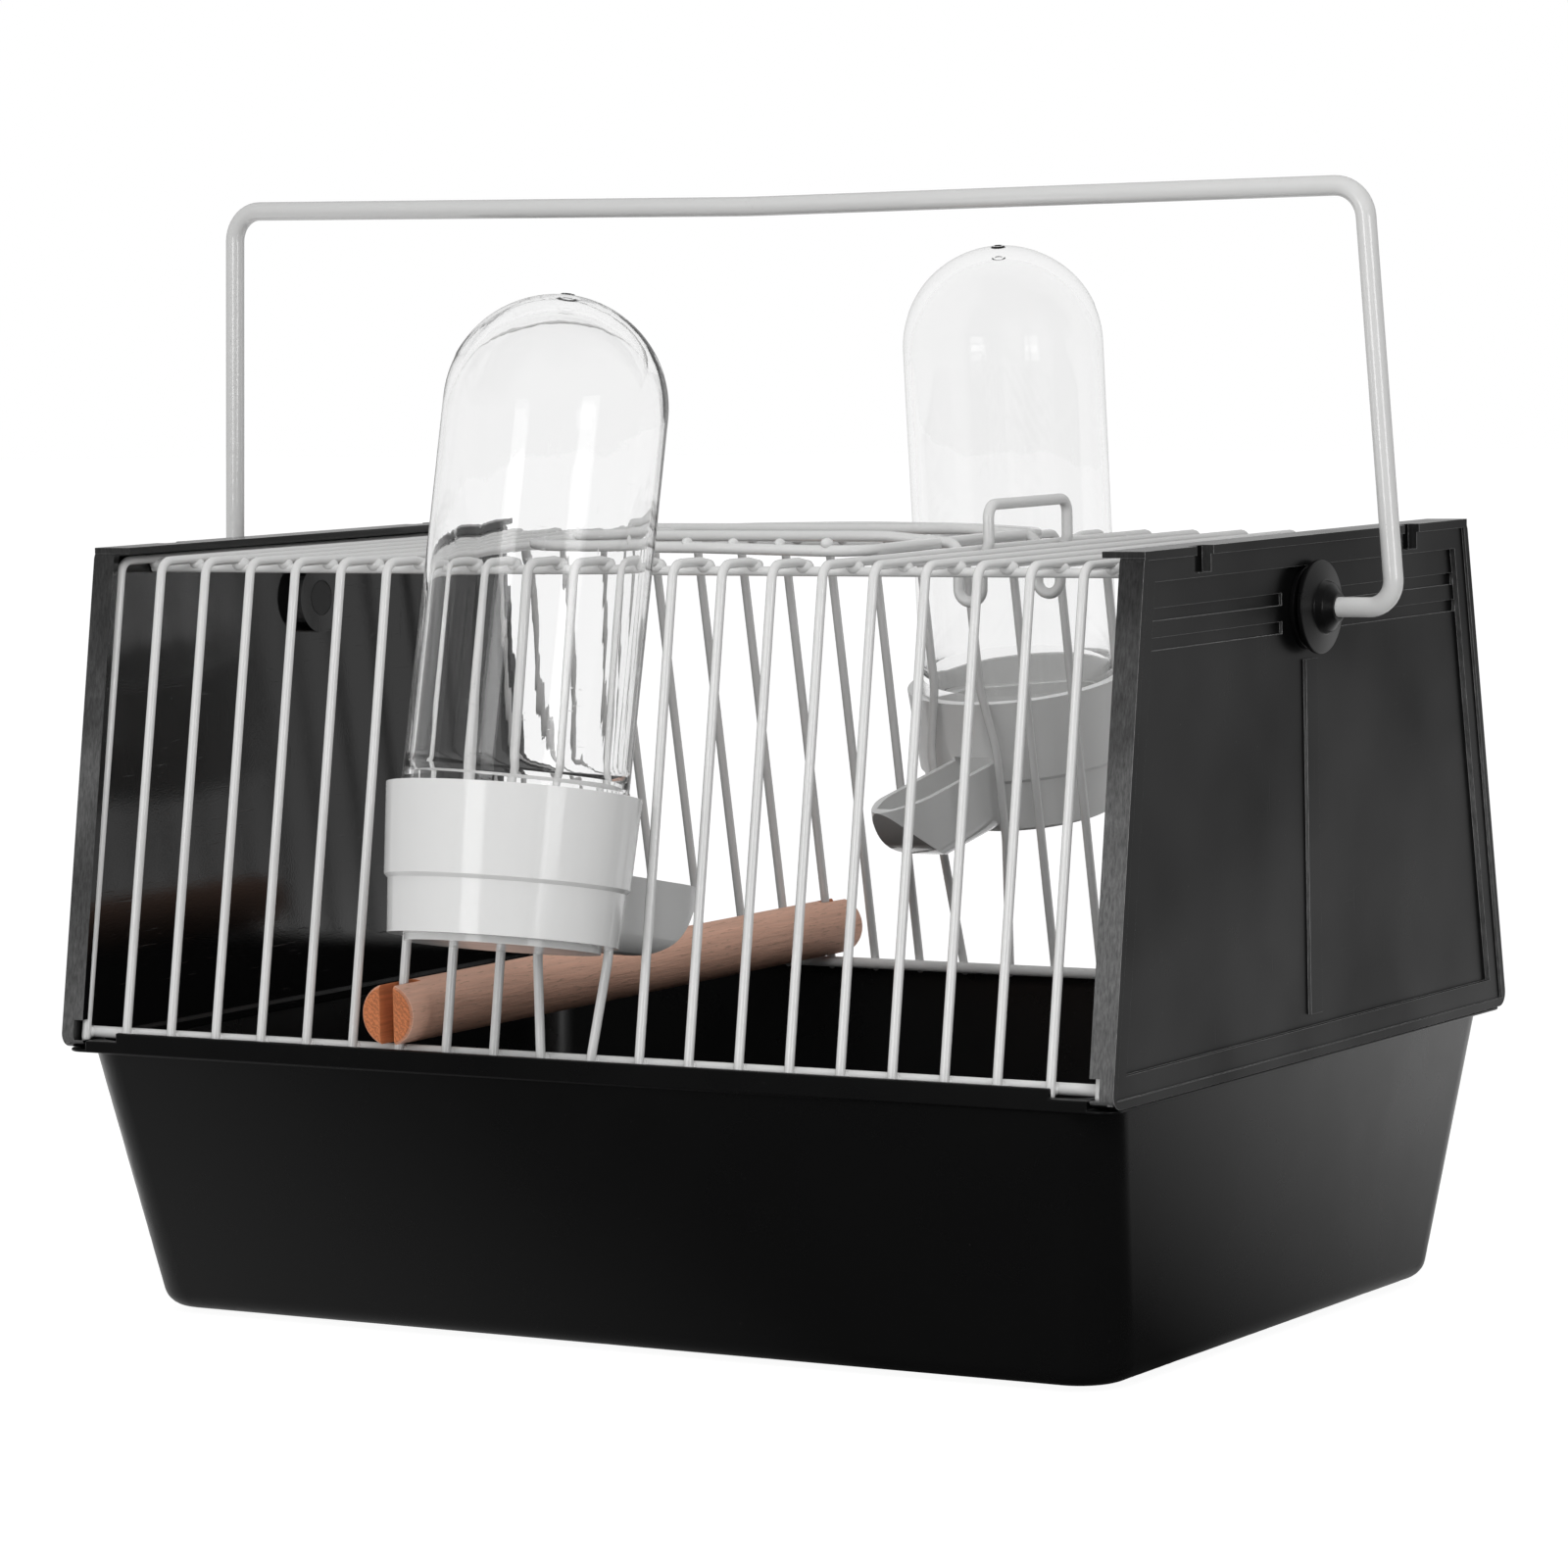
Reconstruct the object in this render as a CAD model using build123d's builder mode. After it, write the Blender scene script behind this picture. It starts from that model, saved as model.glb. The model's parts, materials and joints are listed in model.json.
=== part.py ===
from build123d import *
import os
from math import atan2, cos, radians, sin, sqrt, tan

os.makedirs("parts", exist_ok=True)

# ---------------------------------------------------------------------------
# Bird travel carrier. Millimetres, +Z up, +X along the long side, -Y the front.
# The origin is the centre of the underside of the tray's foot.
# ---------------------------------------------------------------------------

# Wire hood
wire_pitch = 12.0
wire_count = 22
end_wire_x = 125.0
wire_radius = 1.0
wire_bend = 3.2
bottom_rail_radius = 1.25
top_rail_radius = 1.0
rail_z = 62.5
hood_rise = 99.2
roof_rise = 101.49
top_rail_half_depth = 57.8
foot_half_depth = 87.9
top_half_depth = 70.7
wire_foot_drop = 1.0
weld_gap = 0.01
rail_half_length = 126.0
leg_top_tail = 5.0
stub_end_half_depth = 56.5
first_door_wire = 6
last_door_wire = 14

# Pair of wires spread apart to let a feeder's spout through
left_spout_wire = 10
right_spout_wire = 11
spread = 2.7
front_spread_z = 94.0
rear_spread_z = 103.5
spread_half_height = 10.5
spread_ease = 14.0
spread_bend = 30.0

# End panels
panel_outer_x = 129.5
panel_face_x = 127.8
panel_back_x = 126.3
flange_inner_x = 124.0
lip_inner_x = 120.0
panel_bottom_z = 59.3
panel_top_z = 167.1
panel_bottom_half_depth = 91.4
panel_top_half_depth = 74.0
panel_corner = 3.0
flange_wall = 1.8
top_lip_thickness = 1.3
ledge_width = 4.4
ledge_height = 1.1
rail_notch_top_z = 65.5
rib_proud = 0.7
band_rib_height = 0.9
side_groove_z = (154.4, 148.6)
side_groove_height = 2.5
side_groove_depth = 0.6
band_rib_z = 162.0
side_groove_inner_y = 12.0
centre_rib_width = 5.2
centre_rib_bottom_z = 68.0
centre_rib_top_z = 141.5
clip_y = (-48.5, 46.5)
clip_width = 7.0
clip_height = 5.3
clip_depth = 0.9
clip_hole_radius = 1.3
clip_hole_lift = 0.2
boss_radius = 8.0
boss_inner_x = 123.0

# Tray
foot_height = 1.0
foot_half_length = 104.0
foot_half_depth_tray = 66.0
foot_corner = 6.0
tray_bottom_half_length = 119.3
tray_bottom_half_depth = 77.0
tray_top_half_length = 126.4
tray_top_half_depth = 89.9
tray_corner_bottom = 12.0
tray_corner_top = 11.0
tray_bottom_round = 5.0
tray_wall = 1.8
tray_floor = 1.8
rim_z = 58.5
rim_top_z = 59.2
rim_half_length = 129.2
rim_half_depth = 90.7
rim_corner = 4.0
ledge_top_z = 61.1
tray_mouth_half_length = 122.5
tray_mouth_half_depth = 82.6
tray_mouth_corner = 6.0
rail_ledge_half_length = 123.4
hook_lip_top_z = 63.1
hook_lip_half_length = 115.0
hook_lip_thickness = 1.3

# Carry handle and its pivot bushes
handle_radius = 2.1
handle_axis_z = 152.2
handle_end_x = 125.0
handle_lower_x = 147.6
handle_left_x = 144.3
handle_right_x = 141.8
handle_left_z = 240.6
handle_middle_z = 237.9
handle_right_z = 238.3
handle_lower_bend = 5.5
handle_upper_bend = 7.0
handle_sag_bend = 400.0
bush_bore = 2.16
bush_bore_end_x = 124.6
bush_stem_radius = 4.0
bush_disc_radius = 9.7
bush_collar_radius = 8.8
bush_neck_radius = 5.6
bush_nose_radius = 5.0
bush_tip_radius = 2.9
bush_collar_x = 128.9
bush_disc_x = 130.0
bush_disc_edge_x = 131.0
bush_dome_x = 131.9
bush_nose_x = 133.4
bush_tip_x = 135.0

# Roof door
door_wire_radius = 1.2
door_rest_gap = 0.1
door_hinge_wire = 15
door_bar_y = (-11.6, 22.6)
bar_step = 1.0
bar_weld = 0.02
door_ring_centre = (2.2, 3.0)
door_ring_half_length = 60.5
door_ring_half_depth = 58.5
loop_half_width = 2.35
loop_drop = 9.0
loop_bend = 2.3
lever_rise = 9.9
lever_bend = 3.0
lever_lean = 1.6
bar_drop_start = 8.0
bar_bend = 4.0

# Feeders
tube_radius = 23.1
tube_wall = 1.4
tube_below = 9.5
tube_dome_centre = 78.4
tube_crown_extra = 1.6
stop_ring_z = 1.6
stop_ring_height = 1.0
stop_ring_proud = 0.6
gate_radius = 2.0
gate_height = 0.5
cup_top_radius = 26.0
cup_step_radius = 25.0
cup_lower_radius = 24.2
cup_bottom_radius = 23.5
cup_step = 18.6
cup_height = 30.4
cup_floor = 1.6
cup_bore_radius = 23.5
cup_seat = 10.0
cup_inner_radius = 21.2
foot_ring_radius = 20.0
foot_ring_height = 1.4
spout_top = 13.8
spout_bottom = 30.0
spout_tip = 69.5
spout_nose = 14.0
spout_half_width = 6.1
spout_wall = 1.3
spout_nose_curve = ((5.0, 5.0), (10.0, 9.4), (18.0, 14.4))
spout_edge_round = 4.4
spout_inner_rise = 1.0
spout_tip_inset = 1.5
spout_cheek_share = 0.62
spout_cheek_back = 4.4
spout_tip_slope = 0.35
cup_step_slope = 0.8
spout_nose_length = 26.0
front_feeder_y = -105.2
front_feeder_z = 119.7
rear_feeder_y = 103.6
rear_feeder_z = 129.0
feeder_tilt = 10.5
feeder_x = 0.9

# Perch
perch_radius = 6.5
perch_half_length = 92.0
perch_wire = 7
perch_gap = 0.25
perch_slot_width = 3.4
perch_slot_depth = 10.0
perch_edge = 0.6


# --------------------------------------------------------------- hood lines
lean = atan2(foot_half_depth - top_half_depth, hood_rise)
slope = tan(lean)
roof_z = rail_z + roof_rise
top_rail_z = roof_z - wire_radius - top_rail_radius - weld_gap
bottom_rail_y = foot_half_depth - (wire_radius + bottom_rail_radius + weld_gap) / cos(lean)


def grid_half_depth(z):
    """Half-depth of the hood's sloping wires at the height z."""
    return foot_half_depth - slope * (z - rail_z)


def wire_x(index):
    """Place of a hood wire along the carrier; the end wires sit 1 mm in."""
    x = (index - (wire_count - 1) / 2) * wire_pitch
    return max(-end_wire_x, min(end_wire_x, x))


def save(piece, name):
    piece.part.label = name
    export_step(piece.part, f"parts/{name}.step")


def leg_points(index, side, spread_z):
    """Line of one sloping wire: foot, the spread past a spout, roof corner, tail."""
    x = wire_x(index)
    foot_z = rail_z - wire_foot_drop
    points = [(x, side * grid_half_depth(foot_z), foot_z)]
    if index in (left_spout_wire, right_spout_wire):
        away = -spread if index == left_spout_wire else spread
        for z, shift in (
            (spread_z - spread_half_height, away),
            (spread_z + spread_half_height, away),
            (spread_z + spread_half_height + spread_ease, 0),
        ):
            points.append((x + shift, side * grid_half_depth(z), z))
    corner_y = grid_half_depth(roof_z)
    points.append((x, side * corner_y, roof_z))
    points.append((x, side * (corner_y - leg_top_tail), roof_z))
    return points


def leg_path(index, side, spread_z):
    points = leg_points(index, side, spread_z)
    radii = [spread_bend] * (len(points) - 3) + [wire_bend]
    return FilletPolyline(*points, radius=radii)


def sloping_wires(side, spread_z):
    """All 22 sloping wires of the front (side -1) or the back (side +1)."""
    with BuildPart() as wires:
        for index in range(wire_count):
            with BuildLine() as line:
                leg_path(index, side, spread_z)
            with BuildSketch(Plane(origin=line.line @ 0, z_dir=line.line % 0)):
                Circle(wire_radius)
            sweep(path=line.line)
    return wires


def rods_along_y(indexes, start_y, end_y, z):
    """Straight roof wires from start_y to end_y."""
    with BuildPart() as rods:
        for index in indexes:
            with BuildSketch(Plane(origin=(wire_x(index), start_y, z), z_dir=(0, 1, 0))):
                Circle(wire_radius)
            extrude(amount=end_y - start_y)
    return rods


def rail(y, z, radius):
    with BuildPart() as bar:
        with BuildSketch(Plane(origin=(-rail_half_length, y, z), z_dir=(1, 0, 0))):
            Circle(radius)
        extrude(amount=2 * rail_half_length)
    return bar


tail_y = grid_half_depth(roof_z) - leg_top_tail

save(sloping_wires(-1, front_spread_z), "front_wires")
save(sloping_wires(1, rear_spread_z), "back_wires")
save(rods_along_y(range(first_door_wire), -tail_y, tail_y, roof_z), "roof_wires_left")
save(rods_along_y(range(last_door_wire + 1, wire_count), -tail_y, tail_y, roof_z), "roof_wires_right")
door_zone = range(first_door_wire, last_door_wire + 1)
save(rods_along_y(door_zone, -tail_y, -stub_end_half_depth, roof_z), "front_roof_stubs")
save(rods_along_y(door_zone, stub_end_half_depth, tail_y, roof_z), "back_roof_stubs")
save(rail(-bottom_rail_y, rail_z, bottom_rail_radius), "front_bottom_rail")
save(rail(bottom_rail_y, rail_z, bottom_rail_radius), "back_bottom_rail")
save(rail(-top_rail_half_depth, top_rail_z, top_rail_radius), "front_top_rail")
save(rail(top_rail_half_depth, top_rail_z, top_rail_radius), "back_top_rail")


# --------------------------------------------------------------- end panels
def panel_edge_y(z):
    """Half-depth of an end panel's outline at the height z."""
    share = (z - panel_bottom_z) / (panel_top_z - panel_bottom_z)
    return panel_bottom_half_depth + share * (panel_top_half_depth - panel_bottom_half_depth)


def panel_outline(inset=0.0, corner=panel_corner):
    """Trapezium of the end panel, smaller by inset, on a YZ plane."""
    low = panel_bottom_z + inset
    high = panel_top_z - inset
    with BuildLine() as outline:
        Polyline(
            (-panel_edge_y(low) + inset, low),
            (panel_edge_y(low) - inset, low),
            (panel_edge_y(high) - inset, high),
            (-panel_edge_y(high) + inset, high),
            close=True,
        )
    make_face(outline.edges())
    if corner > 0:
        fillet(vertices(), radius=corner)


def bar_on_face(x, depth, y_low, y_high, z_low, z_high, mode=Mode.ADD):
    """Upright bar of the given depth that stands out from the plane x."""
    with BuildSketch(Plane.YZ.offset(x)) as face:
        with Locations(((y_low + y_high) / 2, (z_low + z_high) / 2)):
            Rectangle(y_high - y_low, z_high - z_low)
    extrude(face.sketch, amount=depth, mode=mode)


def end_panel():
    """Right-hand end panel; the left one is its mirror image."""
    with BuildPart() as panel:
        with BuildSketch(Plane.YZ.offset(panel_back_x)):
            panel_outline()
        extrude(amount=panel_face_x - panel_back_x)
        # Perimeter flange
        with BuildSketch(Plane.YZ.offset(flange_inner_x)):
            panel_outline()
            with BuildSketch(Plane.YZ.offset(flange_inner_x), mode=Mode.SUBTRACT):
                panel_outline(flange_wall, corner=0)
        extrude(amount=panel_outer_x - flange_inner_x)
        # Low ledge inside the flange
        with BuildSketch(Plane.YZ.offset(panel_face_x)):
            panel_outline(flange_wall / 2, corner=0)
            with BuildSketch(Plane.YZ.offset(panel_face_x), mode=Mode.SUBTRACT):
                panel_outline(flange_wall + ledge_width, corner=0)
        extrude(amount=ledge_height)
        # Top lip over the roof wires
        lip_depth = panel_outer_x - lip_inner_x
        lip_low = panel_top_z - top_lip_thickness
        bar_on_face(
            lip_inner_x, lip_depth, -panel_top_half_depth, panel_top_half_depth, lip_low, panel_top_z
        )
        # Grooves across the face on both sides of the pivot, and the band's edge
        for z in side_groove_z:
            groove_end = panel_edge_y(z) - flange_wall - ledge_width
            for low, high in ((-groove_end, -side_groove_inner_y), (side_groove_inner_y, groove_end)):
                bar_on_face(
                    panel_face_x - side_groove_depth, side_groove_depth, low, high,
                    z - side_groove_height / 2, z + side_groove_height / 2, mode=Mode.SUBTRACT,
                )
        band_end = panel_edge_y(band_rib_z) - flange_wall
        bar_on_face(
            panel_face_x, rib_proud, -band_end, band_end, band_rib_z - band_rib_height / 2,
            band_rib_z + band_rib_height / 2,
        )
        # Broad upright rib in the middle
        bar_on_face(
            panel_face_x, rib_proud, -centre_rib_width / 2, centre_rib_width / 2,
            centre_rib_bottom_z, centre_rib_top_z,
        )
        # Inner boss behind the pivot
        with BuildSketch(Plane.YZ.offset(boss_inner_x)):
            with Locations((0, handle_axis_z)):
                Circle(boss_radius)
        extrude(amount=panel_back_x - boss_inner_x)
        # Bore for the pivot bush
        with BuildSketch(Plane.YZ.offset(boss_inner_x)):
            with Locations((0, handle_axis_z)):
                Circle(bush_stem_radius)
        extrude(amount=panel_outer_x - boss_inner_x, mode=Mode.SUBTRACT)
        # Clip pockets in the top band, each with a small hole
        for y in clip_y:
            pocket_low = panel_top_z - clip_height
            bar_on_face(
                panel_face_x - clip_depth, panel_outer_x - panel_face_x + clip_depth,
                y - clip_width / 2, y + clip_width / 2, pocket_low, panel_top_z, mode=Mode.SUBTRACT,
            )
            with BuildSketch(Plane.YZ.offset(panel_back_x)):
                with Locations((y - clip_width / 4, pocket_low + clip_hole_radius + clip_hole_lift)):
                    Circle(clip_hole_radius)
            extrude(amount=panel_face_x - panel_back_x, mode=Mode.SUBTRACT)
        # Notches that clear the ends of the bottom rails
        for side in (-1, 1):
            notch_y = side * (panel_bottom_half_depth - flange_wall / 2)
            bar_on_face(
                flange_inner_x, panel_back_x - flange_inner_x, notch_y - 3 * flange_wall,
                notch_y + 3 * flange_wall, panel_bottom_z + flange_wall, rail_notch_top_z,
                mode=Mode.SUBTRACT,
            )
    return panel


right_panel = end_panel()
with BuildPart() as left_panel:
    add(mirror(right_panel.part, about=Plane.YZ))
save(right_panel, "right_end_panel")
save(left_panel, "left_end_panel")


# --------------------------------------------------------------------- tray
def rounded_plate(half_length, half_depth, corner):
    RectangleRounded(2 * half_length, 2 * half_depth, corner)


with BuildPart() as tray:
    # Tapered tub
    with BuildSketch(Plane.XY.offset(foot_height)):
        rounded_plate(tray_bottom_half_length, tray_bottom_half_depth, tray_corner_bottom)
    with BuildSketch(Plane.XY.offset(rim_z)):
        rounded_plate(tray_top_half_length, tray_top_half_depth, tray_corner_top)
    loft()
    fillet(tray.faces().sort_by(Axis.Z)[0].edges(), radius=tray_bottom_round)
    # Rim
    with BuildSketch(Plane.XY.offset(rim_z)):
        rounded_plate(rim_half_length, rim_half_depth, rim_corner)
    extrude(amount=rim_top_z - rim_z)
    # Ledges that carry the bottom rails
    with BuildSketch(Plane.XY.offset(rim_top_z)):
        Rectangle(2 * rail_ledge_half_length, 2 * rim_half_depth)
    extrude(amount=ledge_top_z - rim_top_z)
    # Hook lips in front of the rails
    with BuildSketch(Plane.XY.offset(ledge_top_z)):
        for side in (-1, 1):
            with Locations((0, side * (rim_half_depth - hook_lip_thickness / 2))):
                Rectangle(2 * hook_lip_half_length, hook_lip_thickness)
    extrude(amount=hook_lip_top_z - ledge_top_z)
    # Inside of the tub
    with BuildSketch(Plane.XY.offset(foot_height + tray_floor)) as inner_floor:
        rounded_plate(
            tray_bottom_half_length - tray_wall, tray_bottom_half_depth - tray_wall,
            tray_corner_bottom - tray_wall,
        )
    with BuildSketch(Plane.XY.offset(rim_z)) as inner_top:
        rounded_plate(
            tray_top_half_length - tray_wall, tray_top_half_depth - tray_wall,
            tray_corner_top - tray_wall,
        )
    loft(sections=[inner_floor.sketch, inner_top.sketch], mode=Mode.SUBTRACT)
    # Mouth through the rim and the ledges
    with BuildSketch(Plane.XY.offset(rim_z)):
        rounded_plate(tray_mouth_half_length, tray_mouth_half_depth, tray_mouth_corner)
    extrude(amount=ledge_top_z - rim_z, mode=Mode.SUBTRACT)
    # Foot
    with BuildSketch(Plane.XY):
        rounded_plate(foot_half_length, foot_half_depth_tray, foot_corner)
    extrude(amount=foot_height)
save(tray, "base_tray")


# ------------------------------------------------------------- carry handle
with BuildPart() as handle:
    with BuildLine() as handle_line:
        FilletPolyline(
            (-handle_end_x, 0, handle_axis_z),
            (-handle_lower_x, 0, handle_axis_z),
            (-handle_left_x, 0, handle_left_z),
            (-wire_pitch / 2, 0, handle_middle_z),
            (handle_right_x, 0, handle_right_z),
            (handle_lower_x, 0, handle_axis_z),
            (handle_end_x, 0, handle_axis_z),
            radius=[
                handle_lower_bend, handle_upper_bend, handle_sag_bend, handle_upper_bend,
                handle_lower_bend,
            ],
        )
    with BuildSketch(Plane(origin=handle_line.line @ 0, z_dir=handle_line.line % 0)):
        Circle(handle_radius)
    sweep(path=handle_line.line)
save(handle, "carry_handle")


def pivot_bush():
    """Right-hand pivot bush: stem, collar, neck, mushroom disc and nose."""
    with BuildPart() as bush:
        with BuildSketch(Plane.XZ):
            with BuildLine():
                Polyline(
                    (boss_inner_x, handle_axis_z),
                    (boss_inner_x, handle_axis_z + bush_stem_radius),
                    (panel_face_x, handle_axis_z + bush_stem_radius),
                    (panel_face_x, handle_axis_z + bush_collar_radius),
                    (bush_collar_x, handle_axis_z + bush_collar_radius),
                    (bush_collar_x, handle_axis_z + bush_neck_radius),
                    (bush_disc_x, handle_axis_z + bush_neck_radius),
                    (bush_disc_x, handle_axis_z + bush_disc_radius),
                    (bush_disc_edge_x, handle_axis_z + bush_disc_radius),
                    (bush_dome_x, handle_axis_z + bush_neck_radius),
                    (bush_nose_x, handle_axis_z + bush_nose_radius),
                    (bush_tip_x, handle_axis_z + bush_tip_radius),
                    (bush_tip_x, handle_axis_z + bush_bore),
                    (bush_bore_end_x, handle_axis_z + bush_bore),
                    (bush_bore_end_x, handle_axis_z),
                    close=True,
                )
            make_face()
        revolve(axis=Axis((0, 0, handle_axis_z), (1, 0, 0)))
    return bush


right_bush = pivot_bush()
with BuildPart() as left_bush:
    add(mirror(right_bush.part, about=Plane.YZ))
save(right_bush, "right_handle_bush")
save(left_bush, "left_handle_bush")


# ---------------------------------------------------------------- roof door
ring_z = roof_z + wire_radius + door_wire_radius + door_rest_gap
bar_z = ring_z + bar_step
hinge_x = wire_x(door_hinge_wire)

with BuildPart() as door_ring:
    with BuildLine() as ring_line:
        for start in (0, 180):
            EllipticalCenterArc(
                (*door_ring_centre, ring_z), door_ring_half_length, door_ring_half_depth,
                start_angle=start, arc_size=180,
            )
    with BuildSketch(Plane(origin=ring_line.line @ 0, z_dir=ring_line.line % 0)):
        Circle(door_wire_radius)
    sweep(path=ring_line.line)
save(door_ring, "door_ring")


def bar_end_x(y):
    """Left end of a door bar, which is welded to the ring's inner side."""
    ring_x, ring_y = door_ring_centre
    share = (y - ring_y) / door_ring_half_depth
    return ring_x - door_ring_half_length * sqrt(1 - share**2) + door_wire_radius + bar_weld


with BuildPart() as door_wire:
    loop_bottom_z = roof_z - loop_drop
    lever_z = roof_z + lever_rise
    left_leg_x = hinge_x - loop_half_width
    right_leg_x = hinge_x + loop_half_width
    front_y, back_y = door_bar_y
    with BuildLine() as door_line:
        FilletPolyline(
            (bar_end_x(front_y), front_y, bar_z),
            (left_leg_x - bar_drop_start, front_y, bar_z),
            (left_leg_x, front_y, roof_z - door_wire_radius),
            (left_leg_x, front_y, loop_bottom_z),
            (right_leg_x, front_y, loop_bottom_z),
            (right_leg_x, front_y, roof_z),
            (right_leg_x + lever_lean, front_y, lever_z),
            (right_leg_x + lever_lean, back_y, lever_z),
            (right_leg_x, back_y, roof_z),
            (right_leg_x, back_y, loop_bottom_z),
            (left_leg_x, back_y, loop_bottom_z),
            (left_leg_x, back_y, roof_z - door_wire_radius),
            (left_leg_x - bar_drop_start, back_y, bar_z),
            (bar_end_x(back_y), back_y, bar_z),
            radius=[
                bar_bend, bar_bend, loop_bend, loop_bend, bar_bend, lever_bend,
                lever_bend, bar_bend, loop_bend, loop_bend, bar_bend, bar_bend,
            ],
        )
    with BuildSketch(Plane(origin=door_line.line @ 0, z_dir=door_line.line % 0)):
        Circle(door_wire_radius)
    sweep(path=door_line.line)
save(door_wire, "door_hinge_wire")


# ------------------------------------------------------------------ feeders
def feeder_plane(y, z, inward):
    """Plane of a cup's top: its Z is the tube's axis, its Y points into the cage."""
    axis = (0, inward * sin(radians(feeder_tilt)), cos(radians(feeder_tilt)))
    return Plane(origin=(feeder_x, y, z), x_dir=(inward, 0, 0), z_dir=axis)


def side_plane(plane):
    """Upright plane through a feeder's axis: X into the cage, Y along the tube."""
    return Plane(origin=plane.origin, x_dir=plane.y_dir, z_dir=plane.x_dir)


def feeder_tube(plane):
    with BuildPart() as tube:
        with BuildSketch(side_plane(plane)):
            with BuildLine():
                outer_top = tube_dome_centre + tube_radius
                inner_centre = tube_dome_centre - tube_crown_extra
                inner_radius = tube_radius - tube_wall
                inner_top = inner_centre + inner_radius
                Line((tube_radius, -tube_below), (tube_radius, tube_dome_centre))
                CenterArc((0, tube_dome_centre), tube_radius, 0, 90)
                Line((0, outer_top), (0, inner_top))
                CenterArc((0, inner_centre), inner_radius, 0, 90)
                Line((inner_radius, inner_centre), (inner_radius, -tube_below))
                Line((inner_radius, -tube_below), (tube_radius, -tube_below))
            make_face()
        revolve(axis=Axis(plane.origin, plane.z_dir))
        # Stop ring just above the cup
        with BuildSketch(plane.offset(stop_ring_z)):
            Circle(tube_radius + stop_ring_proud)
            Circle(tube_radius - tube_wall / 2, mode=Mode.SUBTRACT)
        extrude(amount=stop_ring_height)
        # Moulding gate on the crown
        with BuildSketch(plane.offset(outer_top - tube_wall / 2)):
            Circle(gate_radius)
        extrude(amount=tube_wall / 2 + gate_height)
    return tube


def spout_side(plane, inset):
    """Side profile of the scoop, smaller by inset, from the cup's axis to its tip."""
    top = -spout_top + (spout_inner_rise if inset else 0.0)
    bottom = -spout_bottom + inset
    tip = spout_tip - spout_tip_inset * inset
    with BuildLine() as outline:
        Line((0, top), (tip, top))
        nose = [(tip - back, top - drop + inset) for back, drop in spout_nose_curve]
        Spline((tip, top), *nose, (tip - spout_nose_length, bottom))
        Line((tip - spout_nose_length, bottom), (0, bottom))
        Line((0, bottom), (0, top))
    make_face(outline.edges())


def spout_section(inset):
    """Cross-section of the scoop: upright sides with rounded lower edges."""
    half = spout_half_width - inset
    low = -spout_bottom + inset
    with BuildLine() as outline:
        FilletPolyline(
            (half, 0), (half, low), (-half, low), (-half, 0), radius=spout_edge_round - inset
        )
        Line((-half, 0), (half, 0))
    make_face(outline.edges())


def spout_plan(inset):
    """Plan of the scoop: straight sides and a pointed, rounded nose."""
    half = spout_half_width - inset
    tip = spout_tip - spout_tip_inset * inset
    shoulder = tip - spout_nose
    cheek = (half * spout_cheek_share, tip - spout_cheek_back)
    with BuildLine() as outline:
        Line((-half, 0), (-half, shoulder))
        Spline(
            (-half, shoulder), (-cheek[0], cheek[1]), (0, tip),
            tangents=[(0, 1), (1, spout_tip_slope)],
        )
        Spline((0, tip), cheek, (half, shoulder), tangents=[(1, -spout_tip_slope), (0, -1)])
        Line((half, shoulder), (half, 0))
        Line((half, 0), (-half, 0))
    make_face(outline.edges())


def scoop(plane, inset):
    """Solid scoop: the side profile met with the plan and the cross-section."""
    half = spout_half_width - inset
    with BuildPart() as solid:
        with BuildSketch(side_plane(plane)):
            spout_side(plane, inset)
        extrude(amount=half, both=True)
        with BuildSketch(plane.offset(-cup_height)):
            spout_plan(inset)
        extrude(amount=cup_height, mode=Mode.INTERSECT)
        with BuildSketch(Plane(origin=plane.origin, x_dir=-plane.x_dir, z_dir=plane.y_dir)):
            spout_section(inset)
        extrude(amount=spout_tip, mode=Mode.INTERSECT)
    return solid


def feeder_cup(plane):
    outer_scoop = scoop(plane, 0.0)
    inner_scoop = scoop(plane, spout_wall)
    with BuildPart() as cup:
        with BuildSketch(side_plane(plane)):
            with BuildLine():
                Polyline(
                    (0, -cup_height),
                    (cup_bottom_radius, -cup_height),
                    (cup_lower_radius, -cup_step - cup_step_slope),
                    (cup_step_radius, -cup_step),
                    (cup_top_radius, 0),
                    (0, 0),
                    close=True,
                )
            make_face()
        revolve(axis=Axis(plane.origin, plane.z_dir))
        add(outer_scoop.part)
        # Socket of the tube, and the well below it
        with BuildSketch(plane.offset(-cup_seat)):
            Circle(cup_bore_radius)
        extrude(amount=cup_seat, mode=Mode.SUBTRACT)
        with BuildSketch(plane.offset(-cup_height + cup_floor)):
            Circle(cup_inner_radius)
        extrude(amount=cup_height - cup_floor, mode=Mode.SUBTRACT)
        add(inner_scoop.part, mode=Mode.SUBTRACT)
        # Foot ring under the cup
        with BuildSketch(plane.offset(-cup_height)):
            Circle(foot_ring_radius)
        extrude(amount=-foot_ring_height)
    return cup


front_plane = feeder_plane(front_feeder_y, front_feeder_z, 1)
rear_plane = feeder_plane(rear_feeder_y, rear_feeder_z, -1)
save(feeder_tube(front_plane), "front_feeder_tube")
save(feeder_cup(front_plane), "front_feeder_cup")
save(feeder_tube(rear_plane), "rear_feeder_tube")
save(feeder_cup(rear_plane), "rear_feeder_cup")


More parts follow.
